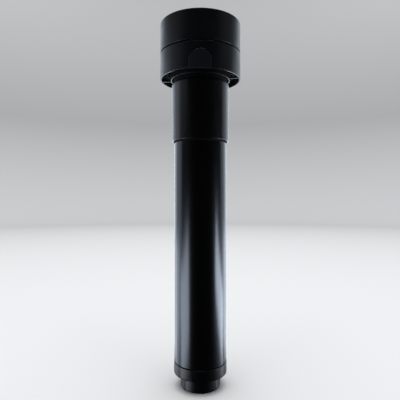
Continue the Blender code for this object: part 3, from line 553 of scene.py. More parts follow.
def spoke_points(angle):
    """A bar along a radius whose section is a square with rounded corners (a superellipse)."""
    turn = np.linspace(0.0, 2.0 * math.pi, 24, endpoint=False)
    power = 0.45  # of the superellipse: 1 gives a circle, 0 a square
    across = spoke_half * np.sign(np.cos(turn)) * np.abs(np.cos(turn)) ** power
    over = spoke_half * np.sign(np.sin(turn)) * np.abs(np.sin(turn)) ** power
    along = np.array([collar_radius - 0.4 * mm, rim_bore + 0.35 * mm])
    radial = np.repeat(along[:, None], len(turn), axis=1)
    swing = math.radians(angle)
    x = radial * math.cos(swing) - across * math.sin(swing)
    y = radial * math.sin(swing) + across * math.cos(swing)
    z = np.repeat(spoke_middle + over[None, :], len(along), axis=0)
    sides = np.stack([x, y, z], axis=-1)
    middles = sides.mean(axis=1, keepdims=True).repeat(len(turn), axis=1)
    return np.concatenate([middles[:1], sides, middles[1:]])


spokes = formed("recess_spokes", [spoke_points(angle) for angle in spoke_angles], head_plastic)
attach(spokes, "housing")


# ---------------------------------------------------------------- window
# Arched window of smoked polycarbonate, pressed into the front of the lower ring from
# outside. Its face follows the ring and its border is polished over.
window_wall = 1.4 * mm
window_edge = 0.5 * mm

# Smoked polycarbonate, polished in the tool: dark and glossy, with faint finger smears about
# 4.5 mm across.
smoked, tree, shader, where = surface(
    "smoked_polycarbonate", "#2E2E33", 0.16, IOR=1.58, Coat_Weight=0.4, Coat_Roughness=0.08
)
uneven_gloss(tree, shader, where, 220.0, 4.0, (0.35, 0.75), (0.12, 0.22))


def window_points():
    """The window's face: a grid across and up the arch, bent round the head.

    Across, the grid reaches the arch's half width at that height. Near the border the face
    falls back by a quarter circle of the edge's radius.
    """
    ease = np.sin(np.linspace(-math.pi / 2.0, math.pi / 2.0, 49))
    rise = (1.0 + np.sin(np.linspace(-math.pi / 2.0, math.pi / 2.0, 65))) / 2.0
    low, high = rim_low, window_high[2]
    spring = high - window_half * crown_rise
    z = low + (high - low) * rise
    above = np.clip((z - spring) / (high - spring), 0.0, 1.0)
    half = window_half * np.sqrt(np.maximum(1.0 - above**2, 0.0))
    x = ease[None, :] * half[:, None]
    z = np.repeat(z[:, None], len(ease), axis=1)
    slope = np.hypot(x / window_half, np.maximum(z - spring, 0.0) / (high - spring))
    outward = np.where(z > spring, slope, np.abs(x) / window_half)
    inset = np.minimum((1.0 - outward) * window_half, z - low)
    depth = 1.0 - np.clip(inset / window_edge, 0.0, 1.0)
    radius = head_radius - window_edge * (1.0 - np.sqrt(1.0 - depth**2))
    return np.stack([x, -np.sqrt(radius**2 - x**2), z], axis=-1)


def slab(name, face, thickness, material):
    """A plate: a grid face with a second one behind it, towards +Y, joined round the border."""
    behind = face.copy()
    behind[..., 1] = behind[..., 1] * (1.0 - thickness / head_radius)
    mesh = grid_mesh(name, [face, behind], (False, False))
    shape = bmesh.new()
    shape.from_mesh(mesh)
    border = [edge for edge in shape.edges if edge.is_boundary]
    bmesh.ops.bridge_loops(shape, edges=border)
    bmesh.ops.recalc_face_normals(shape, faces=shape.faces)
    shape.to_mesh(mesh)
    shape.free()
    mesh.shade_smooth()
    mesh.set_sharp_from_angle(angle=sharp_angle)
    return piece(name, mesh, material)


window = slab("front_window", window_points(), window_wall, smoked)
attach(window, "housing")
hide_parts("display_window")


# ---------------------------------------------------------------- cable gland
# Moulded rubber gland pushed into the back of the lower ring, flush with it. Its flange sits
# in a seat, its bore takes the mains lead, and a shallow groove rings its face.
gland_face = gland_high[1]
gland_flange = 1.1 * mm
gland_tail = 4.7 * mm
gland_bore = 3.4 * mm

# Moulded silicone rubber: dull and slightly dusty, with specks about 1 mm apart.
silicone, tree, shader, where = surface("moulded_silicone", "#121213", 0.7, IOR=1.41, Sheen_Weight=0.15)
fine_grain(tree, shader, where, 900.0, 0.2, Detail=3.0)

gland = turned(
    "gland_collar",
    [
        (gland_radius, gland_face, 0.5 * mm),
        (gland_radius, gland_face - gland_flange, 0.1 * mm),
        (gland_tail, gland_face - gland_flange, 0.1 * mm),
        (gland_tail, gland_low[1], 0.4 * mm),
        (gland_bore, gland_low[1], 0.3 * mm),
        (gland_bore, gland_face - 1.2 * mm, 0.3 * mm),
        (gland_bore + 1.1 * mm, gland_face - 0.5 * mm, 0.3 * mm),
        (gland_bore + 1.3 * mm, gland_face, 0.3 * mm),
        (gland_radius - 0.9 * mm, gland_face, 0.1 * mm),
        (gland_radius - 0.75 * mm, gland_face - 0.25 * mm, 0.1 * mm),
        (gland_radius - 0.6 * mm, gland_face, 0.1 * mm),
    ],
    silicone,
    segments=96,
    axis="Y",
    centre=(0.0, 0.0, gland_height),
)
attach(gland, "housing")
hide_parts("cable_gland")


# ---------------------------------------------------------------- frame screws
# Four blackened steel pan-head screws with hexagon sockets, driven up through the deck into
# the frame that the dial turns on.
def speckled(name, colour, other, roughness, metallic, spacing, **more):
    """A finish mottled between two colours by noise of the given spacing."""
    made, tree, shader, where = surface(name, colour, roughness, metallic, **more)
    noise = add(tree, "ShaderNodeTexNoise", None, {"Vector": where, "Scale": 1.0 / spacing, "Detail": 3.0})
    colours = {0: noise.outputs["Fac"], 6: (*linear(colour), 1.0), 7: (*linear(other), 1.0)}
    mix = add(tree, "ShaderNodeMix", {"data_type": "RGBA"}, colours)
    tree.links.new(mix.outputs[2], shader.inputs["Base Color"])
    return made


# Blackened steel: a dark, half glossy skin, worn a little greyer in specks of 0.8 mm.
black_oxide = speckled("black_oxide_steel", "#242427", "#3C3C40", 0.36, 1.0, mm / 1.2)


def drive_screw(node, body, seat, way, head, shank):
    """A pan-head screw on its CAD node's seat: a turned profile with a six-sided socket.

    way points along the shank; head and shank are (radius, length). The shank's thread is a
    row of small ridges, one for each pitch.
    """
    pitch = 0.9 * mm
    thread_depth = 0.2 * mm
    socket_depth = 1.0 * mm
    pan_radius, pan_height = head
    shank_radius, shank_length = shank
    corners = [
        (0.0, pan_height, 0.0),
        (pan_radius - 0.5 * mm, pan_height, 1.0 * mm),
        (pan_radius, 0.45 * pan_height, 0.6 * mm),
        (pan_radius, 0.0, 0.15 * mm),
        (shank_radius, 0.0, 0.1 * mm),
    ]
    for i in range(int((shank_length - 1.0 * mm) / pitch)):
        top = -0.4 * mm - i * pitch
        corners += [(shank_radius, top, 0.0), (shank_radius - thread_depth, top - pitch / 2.0, 0.0)]
    corners += [(shank_radius - thread_depth, 0.4 * mm - shank_length, 0.1 * mm), (0.0, -shank_length, 0.0)]
    place = Matrix.Translation(seat) @ (-Vector(way)).to_track_quat("Z", "Y").to_matrix().to_4x4()
    made = turned(node + "_drive", corners, black_oxide, segments=48, closed=False)
    hexagon = circle(0.5 * pan_radius, 6)
    socket = prism("socket", hexagon, pan_height - socket_depth, pan_height + socket_depth)
    carve(made, [socket])
    made.data.transform(place)
    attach(made, body)
    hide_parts(node)


for number, angle in enumerate(screw_angles, 1):
    swing = math.radians(angle)
    seat = (screw_circle * math.cos(swing), screw_circle * math.sin(swing), deck_low - 0.3 * mm)
    pan = (2.7 * mm, 1.8 * mm)
    shank = (1.2 * mm, 8.0 * mm)
    drive_screw(f"frame_screw_{number}", "housing", seat, (0.0, 0.0, 1.0), pan, shank)


# ---------------------------------------------------------------- top plate and button
# The fixed plate in the middle of the dial, slightly dished, and the start button in its
# centre. Both are ABS; the button's mark is pad printed in pale grey.
button_low, button_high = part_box("start_button")
button_radius = 9.0 * mm
plate_top = plate_high[2]
plate_skirt = 31.6 * mm
plate_bore = 29.8 * mm
plate = turned(
    "top_plate",
    [
        (plate_high[0], plate_top, 0.4 * mm),
        (plate_high[0], plate_top - 1.4 * mm, 0.2 * mm),
        (plate_skirt, plate_top - 1.4 * mm, 0.0),
        (plate_skirt, plate_low[2], 0.3 * mm),
        (plate_bore, plate_low[2], 0.3 * mm),
        (plate_bore, plate_top - 3.4 * mm, 0.3 * mm),
        (button_radius + clear, plate_top - 3.4 * mm, 0.2 * mm),
        (button_radius + clear, plate_top - 0.9 * mm, 0.3 * mm),
        (button_radius + 5.0 * mm, plate_top - 0.45 * mm, 6.0 * mm),
        (plate_high[0] - 3.0 * mm, plate_top, 8.0 * mm),
    ],
    head_plastic,
)
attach(plate, "housing")
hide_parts("top_cap")

# The same ABS, a little smoother, with a pad-printed sign: a ring that is open at the back,
# away from the user, and a bar in its gap. The steps below find where the ink lies.
ring_radius = 2.9 * mm
ink_half = 0.26 * mm
gap_half = 1.0 * mm
bar_ends = (0.9 * mm, 3.4 * mm)
button_face, tree, shader, where = surface("moulded_abs_printed", "#111215", 0.34, IOR=1.53)
axes = add(tree, "ShaderNodeSeparateXYZ", None, {"Vector": where})
flat = add(tree, "ShaderNodeCombineXYZ", None, {"X": axes.outputs["X"], "Y": axes.outputs["Y"], "Z": 0.0})
from_axis = add(tree, "ShaderNodeVectorMath", {"operation": "LENGTH"}, {0: flat.outputs["Vector"]})
values = {"x": axes.outputs["X"], "y": axes.outputs["Y"], "away": from_axis.outputs["Value"]}
for result, operation, *terms in (
    ("past_ring", "SUBTRACT", "away", ring_radius),
    ("off_ring", "ABSOLUTE", "past_ring"),
    ("in_ring", "LESS_THAN", "off_ring", ink_half),
    ("beside", "ABSOLUTE", "x"),
    ("near_middle", "LESS_THAN", "beside", gap_half),
    ("rear", "GREATER_THAN", "y", 0.0),
    ("gap", "MULTIPLY", "near_middle", "rear"),
    ("open_ring", "SUBTRACT", "in_ring", "gap"),
    ("in_bar", "LESS_THAN", "beside", ink_half),
    ("past_start", "GREATER_THAN", "y", bar_ends[0]),
    ("before_end", "LESS_THAN", "y", bar_ends[1]),
    ("bar_span", "MULTIPLY", "past_start", "before_end"),
    ("bar", "MULTIPLY", "in_bar", "bar_span"),
    ("mark", "MAXIMUM", "open_ring", "bar"),
):
    inputs = {i: values.get(term, term) for i, term in enumerate(terms)}
    values[result] = add(tree, "ShaderNodeMath", {"operation": operation}, inputs).outputs["Value"]
colours = {0: values["mark"], 6: (*linear("#111215"), 1.0), 7: (*linear("#9A9EA4"), 1.0)}
ink = add(tree, "ShaderNodeMix", {"data_type": "RGBA"}, colours)
tree.links.new(ink.outputs[2], shader.inputs["Base Color"])

flange_top = button_high[2] - 3.8 * mm
flange_low = button_high[2] - 5.0 * mm
stem_radius = 2.2 * mm
button = turned(
    "button_face",
    [
        (0.0, button_high[2] - 0.45 * mm, 0.0),
        (button_radius - 2.0 * mm, button_high[2] - 0.3 * mm, 6.0 * mm),
        (button_radius - 0.4 * mm, button_high[2], 0.5 * mm),
        (button_radius, button_high[2] - 0.4 * mm, 0.3 * mm),
        (button_radius, flange_top, 0.0),
        (button_high[0], flange_top, 0.2 * mm),
        (button_high[0], flange_low, 0.2 * mm),
        (stem_radius, flange_low, 0.3 * mm),
        (stem_radius, button_low[2], 0.2 * mm),
        (0.0, button_low[2], 0.0),
    ],
    button_face,
    segments=128,
    closed=False,
)
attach(button, "button")
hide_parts("start_button")


# ---------------------------------------------------------------- button spring
# Compression spring of drawn wire that stands on the control board and lifts the button by
# its flange: an open coil of even pitch.
return_low, return_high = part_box("button_spring")
wire_radius = 0.4 * mm

# Cold-drawn spring wire: bright, with scale marks from the die about 0.7 mm apart.
spring_steel, tree, shader, where = surface("drawn_spring_wire", "#8E8F93", 0.28, 1.0)
uneven_gloss(tree, shader, where, 1500.0, 2.0, (0.3, 0.7), (0.22, 0.36))


def wire_points(path, radius, side, sides=12):
    """A round wire along a path of points, closed at both ends.

    Each ring lies across the path's direction. Its first axis is the side direction given
    for each point, made square to the path; its second is the cross product of the two.
    """
    ahead = np.gradient(path, axis=0)
    ahead /= np.linalg.norm(ahead, axis=1, keepdims=True)
    first = side - (side * ahead).sum(axis=1, keepdims=True) * ahead
    first /= np.linalg.norm(first, axis=1, keepdims=True)
    second = np.cross(ahead, first)
    turn = np.linspace(0.0, 2.0 * math.pi, sides, endpoint=False)[None, :, None]
    rings = path[:, None] + radius * (np.cos(turn) * first[:, None] + np.sin(turn) * second[:, None])
    caps = path[[0, -1], None].repeat(sides, axis=1)
    return np.concatenate([caps[:1], rings, caps[1:]])


def coil(radius, low, high, turns, steps=36):
    """Path of a coil round Z, with the outward direction at each point."""
    turn = np.linspace(0.0, 2.0 * math.pi * turns, int(turns * steps) + 1)
    out = np.stack([np.cos(turn), np.sin(turn), np.zeros_like(turn)], axis=1)
    return radius * out + np.outer(np.linspace(low, high, len(turn)), (0.0, 0.0, 1.0)), out


return_radius = 6.8 * mm
return_turns = 3.0
path, out = coil(return_radius, return_low[2] + wire_radius, return_high[2] - wire_radius, return_turns)
return_spring = formed("return_spring", [wire_points(path, wire_radius, out)], spring_steel)
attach(return_spring, "housing")
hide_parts("button_spring")
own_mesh(return_spring)


# ---------------------------------------------------------------- neck
# The spine of the neck shows as a dark step under the collar. The sleeve round it is black
# glass-filled nylon, smoother than the head, with a softened lip where the tube goes in.
core_low, core_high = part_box("neck_core")
tube_low, tube_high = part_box("skirt_tube")
tube_radius = tube_high[0]
tube_bore = tube_radius - 0.8 * mm
spigot = tube_bore - clear
step = tube_high[2] + clear
core_head = 27.3 * mm
core_waist = 25.6 * mm
core_bore = 22.6 * mm
shaft_bore = 6.4 * mm
core_floor = 235.0 * mm
groove_low, groove_high = 231.8 * mm, 234.0 * mm
groove_root = spigot - 1.3 * mm

spine = turned(
    "neck_spine",
    [
        (core_head, core_high[2], 0.3 * mm),
        (core_head, core_high[2] - 2.5 * mm, 0.3 * mm),
        (core_waist, core_high[2] - 3.9 * mm, 0.5 * mm),
        (core_waist, step, 0.0),
        (spigot, step, 0.2 * mm),
        (spigot, groove_high, 0.1 * mm),
        (groove_root, groove_high, 0.1 * mm),
        (groove_root, groove_low, 0.1 * mm),
        (spigot, groove_low, 0.1 * mm),
        (spigot, core_low[2], 0.4 * mm),
        (shaft_bore, core_low[2], 0.2 * mm),
        (shaft_bore, core_floor, 0.2 * mm),
        (core_bore, core_floor, 0.4 * mm),
        (core_bore, core_high[2], 0.3 * mm),
    ],
    core_plastic,
)
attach(spine, "housing")
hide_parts("neck_core")

# Glass-filled nylon: satin, a little smoother than the head, with a grain of 0.35 mm and faint
# streaks 3 mm apart along the flow of the moulding, which runs up the sleeve.
nylon, tree, shader, where = surface("glass_filled_nylon", "#060607", 0.3, IOR=1.53)
streaked = add(tree, "ShaderNodeMapping", None, {"Vector": where, "Scale": (1.0, 1.0, 0.12)})
uneven_gloss(tree, shader, streaked.outputs["Vector"], 320.0, 3.0, (0.3, 0.7), (0.26, 0.34))
fine_grain(tree, shader, where, 1.0 / (0.35 * mm), 0.08)

sleeve_radius = sleeve_high[0]
sleeve_bore = sleeve_radius - 1.9 * mm
sleeve = turned(
    "sleeve_shell",
    [
        (sleeve_radius, sleeve_high[2], 0.5 * mm),
        (sleeve_radius - 0.15 * mm, sleeve_low[2], 0.55 * mm),
        (sleeve_bore + 0.4 * mm, sleeve_low[2], 0.3 * mm),
        (sleeve_bore, sleeve_low[2] + 1.4 * mm, 0.4 * mm),
        (sleeve_bore, sleeve_high[2], 0.4 * mm),
    ],
    nylon,
)
bracket_low, bracket_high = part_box("clip_bracket")
bracket_screw_x = (-6.5 * mm, 6.5 * mm)
bracket_screw_z = bracket_low[2] + 4.5 * mm
bracket_bore = 1.6 * mm


def screw_bores(depth):
    """Two bores for the bracket's screws, from 20 mm behind the axis to the given depth."""
    bores = []
    for x in bracket_screw_x:
        bore = prism("bore", circle(bracket_bore), 20.0 * mm, depth)
        bores.append(placed(bore, Matrix.Translation((x, 0.0, bracket_screw_z)) @ to_back))
    return bores


carve(sleeve, screw_bores(30.0 * mm))
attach(sleeve, "housing")
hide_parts("neck_sleeve")


# ---------------------------------------------------------------- painted shadow ring
# Thin ring of near-black matt nylon in the sleeve's lip, round the tube. It is painted shade: a dark
# thing set where there is only the shadow of the gap under the sleeve, so that it shows as a dark line.
shadow_gap_outer = sleeve_bore + 0.3 * mm
shadow_gap_inner = tube_radius + 0.05 * mm
shadow_gap_top = sleeve_low[2] + 1.0 * mm
shadow_gap_ring = turned(
    "painted_shadow_ring",
    [
        (shadow_gap_outer, shadow_gap_top, 0.1 * mm),
        (shadow_gap_outer, sleeve_low[2] - 0.5 * mm, 0.3 * mm),
        (shadow_gap_inner, sleeve_low[2] - 1.7 * mm, 0.1 * mm),
        (shadow_gap_inner, shadow_gap_top, 0.1 * mm),
    ],
    core_plastic,
)
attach(shadow_gap_ring, "housing")


# ---------------------------------------------------------------- clip bracket
# Nylon saddle that follows the back of the sleeve, held by two screws, with two ears for the
# clip's pin.
pin_low, pin_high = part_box("clip_pin")
pivot_y = (pin_low[1] + pin_high[1]) / 2.0
pivot_z = (pin_low[2] + pin_high[2]) / 2.0
pin_radius = 1.45 * mm
pin_bore = 1.8 * mm
ear_radius = 3.4 * mm
ear_inner = 8.9 * mm
ear_outer = bracket_high[0]
saddle_back = 29.6 * mm
saddle_gap = 0.35 * mm
saddle_edge = 0.7 * mm
web_start = 27.4 * mm
web_edge = 0.4 * mm


def spaced(low, high, edge, count):
    """Places along a bar: bunched by a cosine over the rounded edge at each end, even between."""
    bunch = edge * (1.0 - np.cos(np.linspace(0.0, math.pi / 2.0, 6)))
    even = np.linspace(low + edge, high - edge, count)[1:-1]
    return np.concatenate([low + bunch, even, high - bunch[::-1]])


def bar(along, low_a, high_a, low_b, high_b, edge, flats=1):
    """A bar whose section is a rounded rectangle that may change along it.

    The section's corners are quarter circles of the edge's radius. Near both ends it shrinks
    by the same quarter circle, and a point in its middle closes it. Returns (along, a, b).
    """
    low_a, high_a, low_b, high_b = [
        np.broadcast_to(side, along.shape)[:, None] for side in (low_a, high_a, low_b, high_b)
    ]
    inward = np.clip(edge - np.minimum(along - along[0], along[-1] - along), 0.0, edge)
    inset = (edge - np.sqrt(edge**2 - inward**2))[:, None]
    mid_a, half_a = (low_a + high_a) / 2.0, (high_a - low_a) / 2.0
    mid_b, half_b = (low_b + high_b) / 2.0, (high_b - low_b) / 2.0
    turn = np.linspace(0.0, math.pi / 2.0, 5)
    slide = np.linspace(1.0, -1.0, flats + 1)[1:-1]
    rest = np.ones(len(slide))
    signs = ((1, 1), (-1, 1), (-1, -1), (1, -1))
    centres = ((slide, rest), (-rest, slide), (-slide, -rest), (rest, -slide))
    sides = []
    for quarter in range(4):
        arc = quarter * math.pi / 2.0 + turn
        sign_a, sign_b = signs[quarter]
        sides.append(np.stack([np.full(5, sign_a), np.full(5, sign_b), np.cos(arc), np.sin(arc)]))
        sides.append(np.stack([*centres[quarter], math.cos(arc[-1]) * rest, math.sin(arc[-1]) * rest]))
    sign_a, sign_b, out_a, out_b = np.concatenate(sides, axis=1)
    radius = np.minimum(edge, 0.9 * np.minimum(half_a, half_b))
    radius = np.maximum(radius - 0.5 * inset, 0.02 * mm)
    a = mid_a + sign_a * (half_a - inset - radius) + radius * out_a
    b = mid_b + sign_b * (half_b - inset - radius) + radius * out_b
    ones = np.ones_like(a)
    grid = np.stack([along[:, None] * ones, a, b], axis=-1)
    middles = np.stack([along[:, None] * ones, mid_a * ones, mid_b * ones], axis=-1)
    return np.concatenate([middles[:1], grid, middles[-1:]])


def side_prism(name, flat, low, high):
    """A prism along X: an outline of (y, z) points carried from one X to the other."""
    order = Matrix(((0.0, 0.0, 1.0, 0.0), (1.0, 0.0, 0.0, 0.0), (0.0, 1.0, 0.0, 0.0), (0.0, 0.0, 0.0, 1.0)))
    return placed(prism(name, flat, low, high), order)


along = spaced(bracket_low[0], bracket_high[0], saddle_edge, 41)
inner = np.sqrt((sleeve_radius + saddle_gap) ** 2 - along**2)
saddle = bar(along, inner, saddle_back, bracket_low[2], bracket_high[2], saddle_edge, 3)
bracket = formed("clip_saddle", [saddle], nylon)
ears = []
for side in (-1.0, 1.0):
    low, high = sorted((side * ear_inner, side * ear_outer))
    span = spaced(low, high, web_edge, 5)
    web = bar(span, web_start, pivot_y, pivot_z - ear_radius, pivot_z + ear_radius, web_edge)
    ears.append(grid_mesh("web", [web]))
    boss = [(0.0, low, 0.0), (ear_radius, low, 0.5 * mm), (ear_radius, high, 0.5 * mm), (0.0, high, 0.0)]
    boss_grid = lathe(outline(boss, closed=False), 64, "X", (0.0, pivot_y, pivot_z))
    ears.append(grid_mesh("boss", [boss_grid]))
carve(bracket, ears, "UNION")
pin_hole = side_prism("bore", circle(pin_bore, 48) + (pivot_y, pivot_z), -14.0 * mm, 14.0 * mm)
carve(bracket, [pin_hole, *screw_bores(34.0 * mm)])
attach(bracket, "housing")
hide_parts("clip_bracket")

for number, x in enumerate(bracket_screw_x, 1):
    seat = (x, saddle_back + 0.3 * mm, bracket_screw_z)
    pan = (2.2 * mm, 1.2 * mm)
    shank = (1.1 * mm, 6.6 * mm)
    drive_screw(f"bracket_screw_{number}", "housing", seat, (0.0, -1.0, 0.0), pan, shank)


# ---------------------------------------------------------------- clip pin and spring
# Plain stainless pin with rounded ends, pushed through the ears, and the torsion spring wound
# round it in the arm's slot, which closes the clip. The spring's legs aren't made.

# Drawn stainless: bright, half polished, with drawing lines about 1.1 mm apart that run up Z
# for 50 mm. They are drawn coarser than they are.
steel, tree, shader, where = surface("drawn_stainless", "#B9BABD", 0.3, 1.0)
drawn = add(tree, "ShaderNodeMapping", None, {"Vector": where, "Scale": (900.0, 900.0, 20.0)})
uneven_gloss(tree, shader, drawn.outputs["Vector"], 1.0, 2.0, (0.3, 0.7), (0.24, 0.36))

pin_half = pin_high[0]
pin = turned(
    "pin_shaft",
    [
        (0.0, -pin_half, 0.0),
        (pin_radius, -pin_half, 0.4 * mm),
        (pin_radius, pin_half, 0.4 * mm),
        (0.0, pin_half, 0.0),
    ],
    steel,
    segments=64,
    closed=False,
    axis="X",
    centre=(0.0, pivot_y, pivot_z),
)
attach(pin, "housing")
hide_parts("clip_pin")

spring_low, spring_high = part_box("clip_spring")
torsion_radius = 2.3 * mm
torsion_turns = 4.0
path, out = coil(torsion_radius, spring_low[0] + wire_radius, spring_high[0] - wire_radius, torsion_turns)
points = wire_points(path, wire_radius, out)[..., [2, 0, 1]] + (0.0, pivot_y, pivot_z)
spring = formed("torsion_spring", [points], spring_steel)
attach(spring, "housing")
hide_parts("clip_spring")


# ---------------------------------------------------------------- clip arm
# Nylon lever that swings on the pin: a ribbed thumb tab above, a long jaw below that ends in a
# lead-in. Its back has a shallow panel, and it is slotted for the spring.
arm_low, arm_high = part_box("clip_arm")
arm_half = arm_high[0]
# Side lines of the arm as (height, distance behind the axis), in mm.
arm_inner = [(193.0, 35.4), (203.0, 31.9), (252.0, 31.9), (259.0, 30.9), (261.5, 30.1), (264.0, 30.7)]
arm_inner += [(265.1, 33.2), (287.6, 36.0), (289.2, 36.9)]
arm_outer = [(193.0, 36.9), (204.0, 34.4), (240.0, 34.6), (258.0, 36.5), (263.0, 36.5)]
arm_outer += [(287.2, 38.9), (289.2, 38.4)]
ridge_low, ridge_high = 271.0 * mm, 285.0 * mm
ridge_pitch = 2.0 * mm
panel_height, panel_half = 227.0 * mm, 19.0 * mm
panel_depth = 0.45 * mm
relief_half = 6.2 * mm


def smoothed(values, spread, reach, **padding):
    """Each value becomes the Gaussian average of its neighbours, up to reach places away."""
    kernel = np.exp(-0.5 * (np.arange(-reach, reach + 1) / spread) ** 2)
    kernel /= kernel.sum()
    return np.convolve(np.pad(values, reach, **padding), kernel, "valid")


def arm_points():
    """The arm: rounded rectangles stacked up Z between an inner and an outer side line.

    The width narrows by a quarter circle at both ends. Ridges on the thumb tab are a row of
    cosines, and the panel on the jaw is sunk by a smooth step; both fade towards the sides.
    """
    edge = 0.6 * mm
    z = spaced(arm_low[2], arm_high[2], edge, 281)
    low_y = np.interp(z / mm, *np.transpose(arm_inner)) * mm
    high_y = np.interp(z / mm, *np.transpose(arm_outer)) * mm
    low_y, high_y = [smoothed(y, 2.5, 6, mode="edge") for y in (low_y, high_y)]
    corner = 4.0 * mm
    cut = np.clip(corner - np.minimum(z - z[0], z[-1] - z), 0.0, corner)
    half = arm_half - corner + np.sqrt(corner**2 - cut**2)
    grid = bar(z, low_y, high_y, -half, half, edge, 24)
    up, depth, across = grid[..., 0], grid[..., 1], grid[..., 2]
    row = np.clip(np.arange(-1, len(z) + 1), 0, len(z) - 1)
    outer = depth > ((low_y + high_y) / 2.0)[row][:, None]
    middle = 1.0 / (1.0 + np.exp((np.abs(across) - relief_half) / (0.25 * mm)))
    ridged = (up > ridge_low) & (up < ridge_high)
    ridge = 0.25 * mm * (1.0 - np.cos(2.0 * math.pi * (up - ridge_low) / ridge_pitch)) * ridged
    panel = panel_depth / (1.0 + np.exp((np.abs(up - panel_height) - panel_half) / (0.3 * mm)))
    depth = depth - outer * middle * (ridge + panel)
    return np.stack([across, depth, up], axis=-1)


arm = formed("pot_clip", [arm_points()], nylon)
slot_half = 2.9 * mm
slot_round = 3.1 * mm
pivot = (pivot_y, pivot_z)
# The slot for the spring is a round hollow, with a lozenge that opens it towards the sleeve.
lozenge = circle(slot_round, 4) * (1.3, 0.8) + (pivot_y - 3.0 * mm, pivot_z)
carve(
    arm,
    [
        side_prism("bore", circle(pin_bore, 48) + pivot, -10.0 * mm, 10.0 * mm),
        side_prism("slot", circle(slot_round, 48) + pivot, -slot_half, slot_half),
        side_prism("mouth", lozenge, -slot_half, slot_half),
    ],
)
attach(arm, "clip")
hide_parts("clip_arm")

pad_box_low, pad_box_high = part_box("clip_pad")


def grip_points():
    """The jaw's pad: a rounded block along Z, with grooves across the face that grips the pot."""
    edge = 0.8 * mm
    z = spaced(pad_box_low[2], pad_box_high[2], edge, 61)
    grid = bar(z, pad_box_low[1], pad_box_high[1], pad_box_low[0], pad_box_high[0], edge, 6)
    up, depth, across = grid[..., 0], grid[..., 1], grid[..., 2]
    face = depth < pad_box_low[1] + 0.9 * mm
    groove = 0.3 * mm * (1.0 - np.cos(2.0 * math.pi * (up - pad_box_low[2]) / ridge_pitch))
    return np.stack([across, depth + face * groove, up], axis=-1)


grip = formed("jaw_pad", [grip_points()], silicone)
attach(grip, "clip")
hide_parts("clip_pad")


# ---------------------------------------------------------------- heater and pump wheel
# Sheathed stainless heater, bent round a mandrel from one length: down from the neck's plate,
# round in a coil, and back up inside it. Below it a moulded wheel with raked blades, pressed
# on the shaft, drives the water out through the slots.
heater_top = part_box("heater_coil")[1][2]
heater_radius = 2.2 * mm
heater_circle = 16.0 * mm
return_circle = 10.5 * mm
return_angle = math.radians(150.0)
coil_low, coil_high = 66.0 * mm, 150.0 * mm
coil_turns = 5.0
coil_start = 156.0 * mm
return_start = 84.0 * mm


def heater_path():
    """The heater's middle line, as one even row of points whose corners are eased.

    The coil falls steadily. Under it the tube runs inwards while it dips by a quarter sine and
    rises with the cube of the way. The row is spaced evenly by length, then each point becomes
    the Gaussian average of its neighbours.
    """
    down = np.linspace(heater_top, coil_start, 90)
    turn = np.linspace(0.0, 1.0, 480)
    inward = np.linspace(0.0, 1.0, 40)[1:]
    up = np.linspace(return_start, heater_top, 150)
    radius = [np.full(len(down) + len(turn), heater_circle)]
    radius += [heater_circle + (return_circle - heater_circle) * inward, np.full(len(up), return_circle)]
    angle = [np.zeros(len(down)), -2.0 * math.pi * coil_turns * turn]
    angle += [(return_angle - 2.0 * math.pi) * (1.0 - (1.0 - inward) ** 2), np.full(len(up), return_angle)]
    height = [down, coil_high + (coil_low - coil_high) * turn]
    height += [coil_low - 6.0 * mm * np.sin(math.pi * inward / 2.0) + 14.0 * mm * inward**3, up]
    radius, angle, height = [np.concatenate(part) for part in (radius, angle, height)]
    rough = np.stack([radius * np.cos(angle), radius * np.sin(angle), height], axis=1)
    way = np.concatenate([[0.0], np.cumsum(np.linalg.norm(np.diff(rough, axis=0), axis=1))])
    even = np.linspace(0.0, way[-1], int(way[-1] / (0.9 * mm)))
    path = [np.interp(even, way, rough[:, i]) for i in range(3)]
    return np.stack([smoothed(line, 2.6, 8, mode="reflect", reflect_type="odd") for line in path], axis=1)


path = heater_path()
out = path * (1.0, 1.0, 0.0)
heater = formed("heater_sheath", [wire_points(path, heater_radius, out, 20)], steel)
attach(heater, "housing")
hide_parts("heater_coil")

# Natural glass-filled PPS: an off-white resin with a low gloss, mottled every 2.5 mm.
natural_pps = speckled("natural_pps", "#C2BFB0", "#D3D0C3", 0.42, 0.0, 2.5 * mm, IOR=1.6)

wheel_low, wheel_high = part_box("impeller")
blade_count = 4
hub_radius = 5.5 * mm
hub_bore = 2.85 * mm
blade_root = 4.8 * mm
blade_tip = 20.4 * mm
blade_chord = 10.0 * mm
blade_thickness = 1.4 * mm
blade_edge = 0.5 * mm
blade_pitch = (52.0, 34.0)


def blade_points(turn):
    """A raked blade: rounded rectangles along a radius, turned by the pitch at that radius.

    The pitch falls evenly from root to tip, and the section thins towards its two edges by
    0.55 of the square of the way from its middle.
    """
    half_chord, half_thick = blade_chord / 2.0, blade_thickness / 2.0
    radius = spaced(blade_root, blade_tip, blade_edge, 25)
    grid = bar(radius, -half_chord, half_chord, -half_thick, half_thick, blade_edge, 10)
    along, chord, thick = grid[..., 0], grid[..., 1], grid[..., 2]
    thick = thick * (1.0 - 0.55 * (2.0 * chord / blade_chord) ** 2)
    pitch = np.radians(np.interp(along, (blade_root, blade_tip), blade_pitch))
    side = chord * np.cos(pitch) - thick * np.sin(pitch)
    up = chord * np.sin(pitch) + thick * np.cos(pitch) + (wheel_low[2] + wheel_high[2]) / 2.0
    x = along * math.cos(turn) - side * math.sin(turn)
    y = along * math.sin(turn) + side * math.cos(turn)
    return np.stack([x, y, up], axis=-1)


wheel = turned(
    "pump_wheel",
    [
        (hub_radius, wheel_high[2], 0.5 * mm),
        (hub_radius, wheel_low[2], 0.8 * mm),
        (hub_bore, wheel_low[2], 0.2 * mm),
        (hub_bore, wheel_high[2], 0.2 * mm),
    ],
    natural_pps,
    segments=96,
)
blades = [grid_mesh("blade", [blade_points(2.0 * math.pi * i / blade_count)]) for i in range(blade_count)]
carve(wheel, blades, "UNION")
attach(wheel, "rotor")
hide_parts("impeller")


